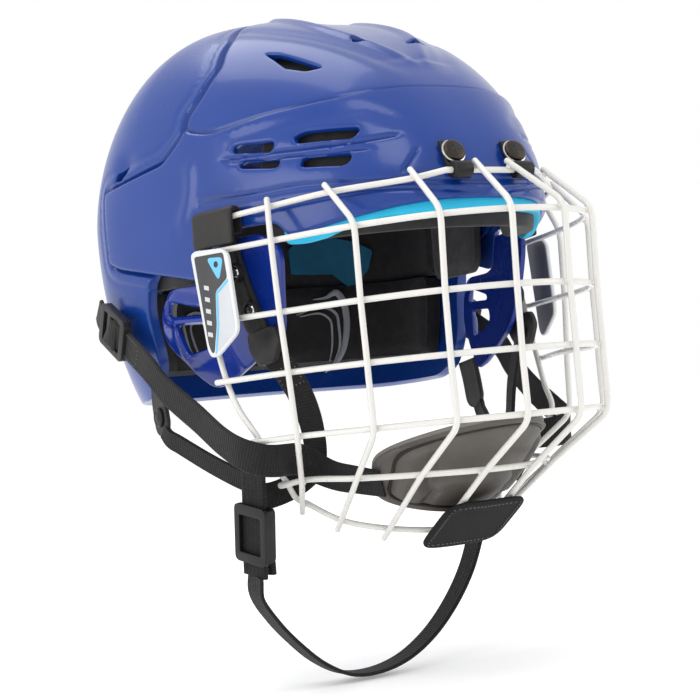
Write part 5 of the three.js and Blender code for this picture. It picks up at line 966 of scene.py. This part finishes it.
# moulded hook pads where the front legs leave the ear guards
for side, tag in ((-1, "r"), (1, "l")):
    yz = smooth_poly([(-30, -62.5), (-53, -60), (-57, -67), (-51, -77), (-38, -78.5), (-31, -71)], 3, 5)
    rings = []
    for ins, dx in ((1.0, 2.0), (0.0, 1.3), (0.0, -1.0), (1.0, -1.8)):
        q = offset_poly(yz, ins); rings.append(np.stack([side * (74.6 + dx + 0.10 * (q[:, 0] + 44)), q[:, 0], q[:, 1]], 1))
    n = len(yz); V = np.vstack(rings); F = sweep_faces(4, n) + [tuple(range(n))[::-1], tuple(3 * n + j for j in range(n))]
    make("front_leg_%s_hook" % tag, V, F, M_BLACK, "helmet", smooth=40)

# ribbed drop, slider, loop, tail
DROP = np.array([[-81.4, -31.5, -131.5], [-80.6, -28.5, -142], [-79.6, -23.5, -159.5], [-78.8, -20.0, -176]]); DN = np.array([[-0.95, -0.3, 0]] * 4)
strap("ribbed_drop_r_web", np.vstack([[[-82.3, -34.5, -124.5]], DROP, [[-78.7, -19.6, -177.6]]]), np.vstack([DN[:1], DN, DN[:1]]), 15.5, 2.2, M_RIB, "helmet", ["ribbed_drop_r"], step=0.9)
dUp = unit(DROP[1] - DROP[3]); dN = unit(DN[0] - dUp * (DN[0] @ dUp)); dA = np.cross(dUp, dN); cS = DROP[1] + (DROP[3] - DROP[1]) * 0.44
frame_solid("strap_slider_front", cS + dN * 2.3, dA, dUp, 21, 28.6, 2.4, [(14.4, -9.6, 9.0)], M_SATIN, "slider", ["strap_slider"], r=3.2, bev=0.8)
frame_solid("strap_slider_back", cS - dN * 2.9, dA, dUp, 20, 27, 2.4, [(14.2, -9.2, 9.2)], M_SATIN, "slider", r=3.0, bev=0.6)
for k in (-1, 1):
    frame_solid("strap_slider_side_%s" % ("a" if k < 0 else "b"), cS + dA * (k * 9.2), dN, dUp, 5.4, 26, 2.2, [], M_SATIN, "slider", r=1.2, bev=0.5)
LOOP = np.array([[-78.6, -19.2, -178.2], [-77.9, -16.9, -187.6], [-70.5, -17.5, -200.5], [-59.5, -17, -213], [-46, -15, -224.5], [-30, -13, -232.5], [-13, -12.5, -233.6], [4, -12.5, -229.5], [20, -13, -220], [34, -14, -206], [44.5, -15.5, -190], [51, -17.5, -173], [57, -19, -156], [63.5, -20.5, -140]])
LN = []
for i in range(len(LOOP)):
    T_ = unit(LOOP[min(i + 1, len(LOOP) - 1)] - LOOP[max(i - 1, 0)]); LN.append(unit(np.cross(T_, [0.05, 1, 0])))
ob, info = strap("strap_loop_web", np.vstack([[[-78.7, -19.5, -177.2]], LOOP[1:]]), np.vstack([LN[:1], LN[1:]]), 15, 1.7, M_RIB, "helmet", ["strap_loop"], step=1.2)
TAIL = np.array([[-71.2, -20.6, -164], [-70.4, -20, -171], [-70.2, -19.6, -178]])
strap("strap_tail_r_web", TAIL, np.array([[-0.95, -0.3, 0]] * 3), 4.6, 2.4, M_WEB, "helmet", ["strap_tail_r"], step=0.8)

# ------------------------------------------------------------------ stage, light
lo_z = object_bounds()[0][2] if not isinstance(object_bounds(), dict) else -0.235
me = bpy.data.meshes.new("floor"); Z = lo_z - 0.002
N_ = 40; vs, fs = [], []
for j in range(N_ + 1):
    t = j / N_
    for i in (0, 1): vs.append((-3 + 6 * i, -3 + 6.0 * t, Z))
prof = []
me.from_pydata([(-60, -60, Z), (60, -60, Z), (60, 60, Z), (-60, 60, Z)], [], [(0, 1, 2, 3)])
fl = bpy.data.objects.new("floor", me); bpy.context.scene.collection.objects.link(fl)
mf = bpy.data.materials.new("floor_white"); nt, bs = nodes_of(mf); bs.inputs["Base Color"].default_value = (0.9, 0.9, 0.9, 1); bs.inputs["Roughness"].default_value = 0.75; bs.inputs["Specular IOR Level"].default_value = 0.0; bs.inputs["Emission Color"].default_value = (1, 1, 1, 1); bs.inputs["Emission Strength"].default_value = 0.22
me.materials.append(mf)
w = bpy.data.worlds.new("w"); bpy.context.scene.world = w; w.use_nodes = True; w.node_tree.nodes["Background"].inputs[0].default_value = (1, 1, 1, 1); w.node_tree.nodes["Background"].inputs[1].default_value = 1.0
def area(name, loc, target, size, power, col=(1, 1, 1)):
    l = bpy.data.lights.new(name, "AREA"); l.energy = power; l.size = size; l.color = col; o = bpy.data.objects.new(name, l); o.location = loc
    o.rotation_euler = (Vector(target) - Vector(loc)).to_track_quat("-Z", "Y").to_euler(); bpy.context.scene.collection.objects.link(o)
area("key", (-0.9, -0.9, 1.3), (0, 0, 0), 0.8, 6)
area("fill", (1.1, -0.9, 0.4), (0, 0, -0.05), 0.8, 3)
area("top", (-0.2, 0.5, 1.4), (0, 0, 0), 1.0, 7)
area("left", (-1.3, 0.2, 0.2), (0, 0, 0), 0.6, 3)
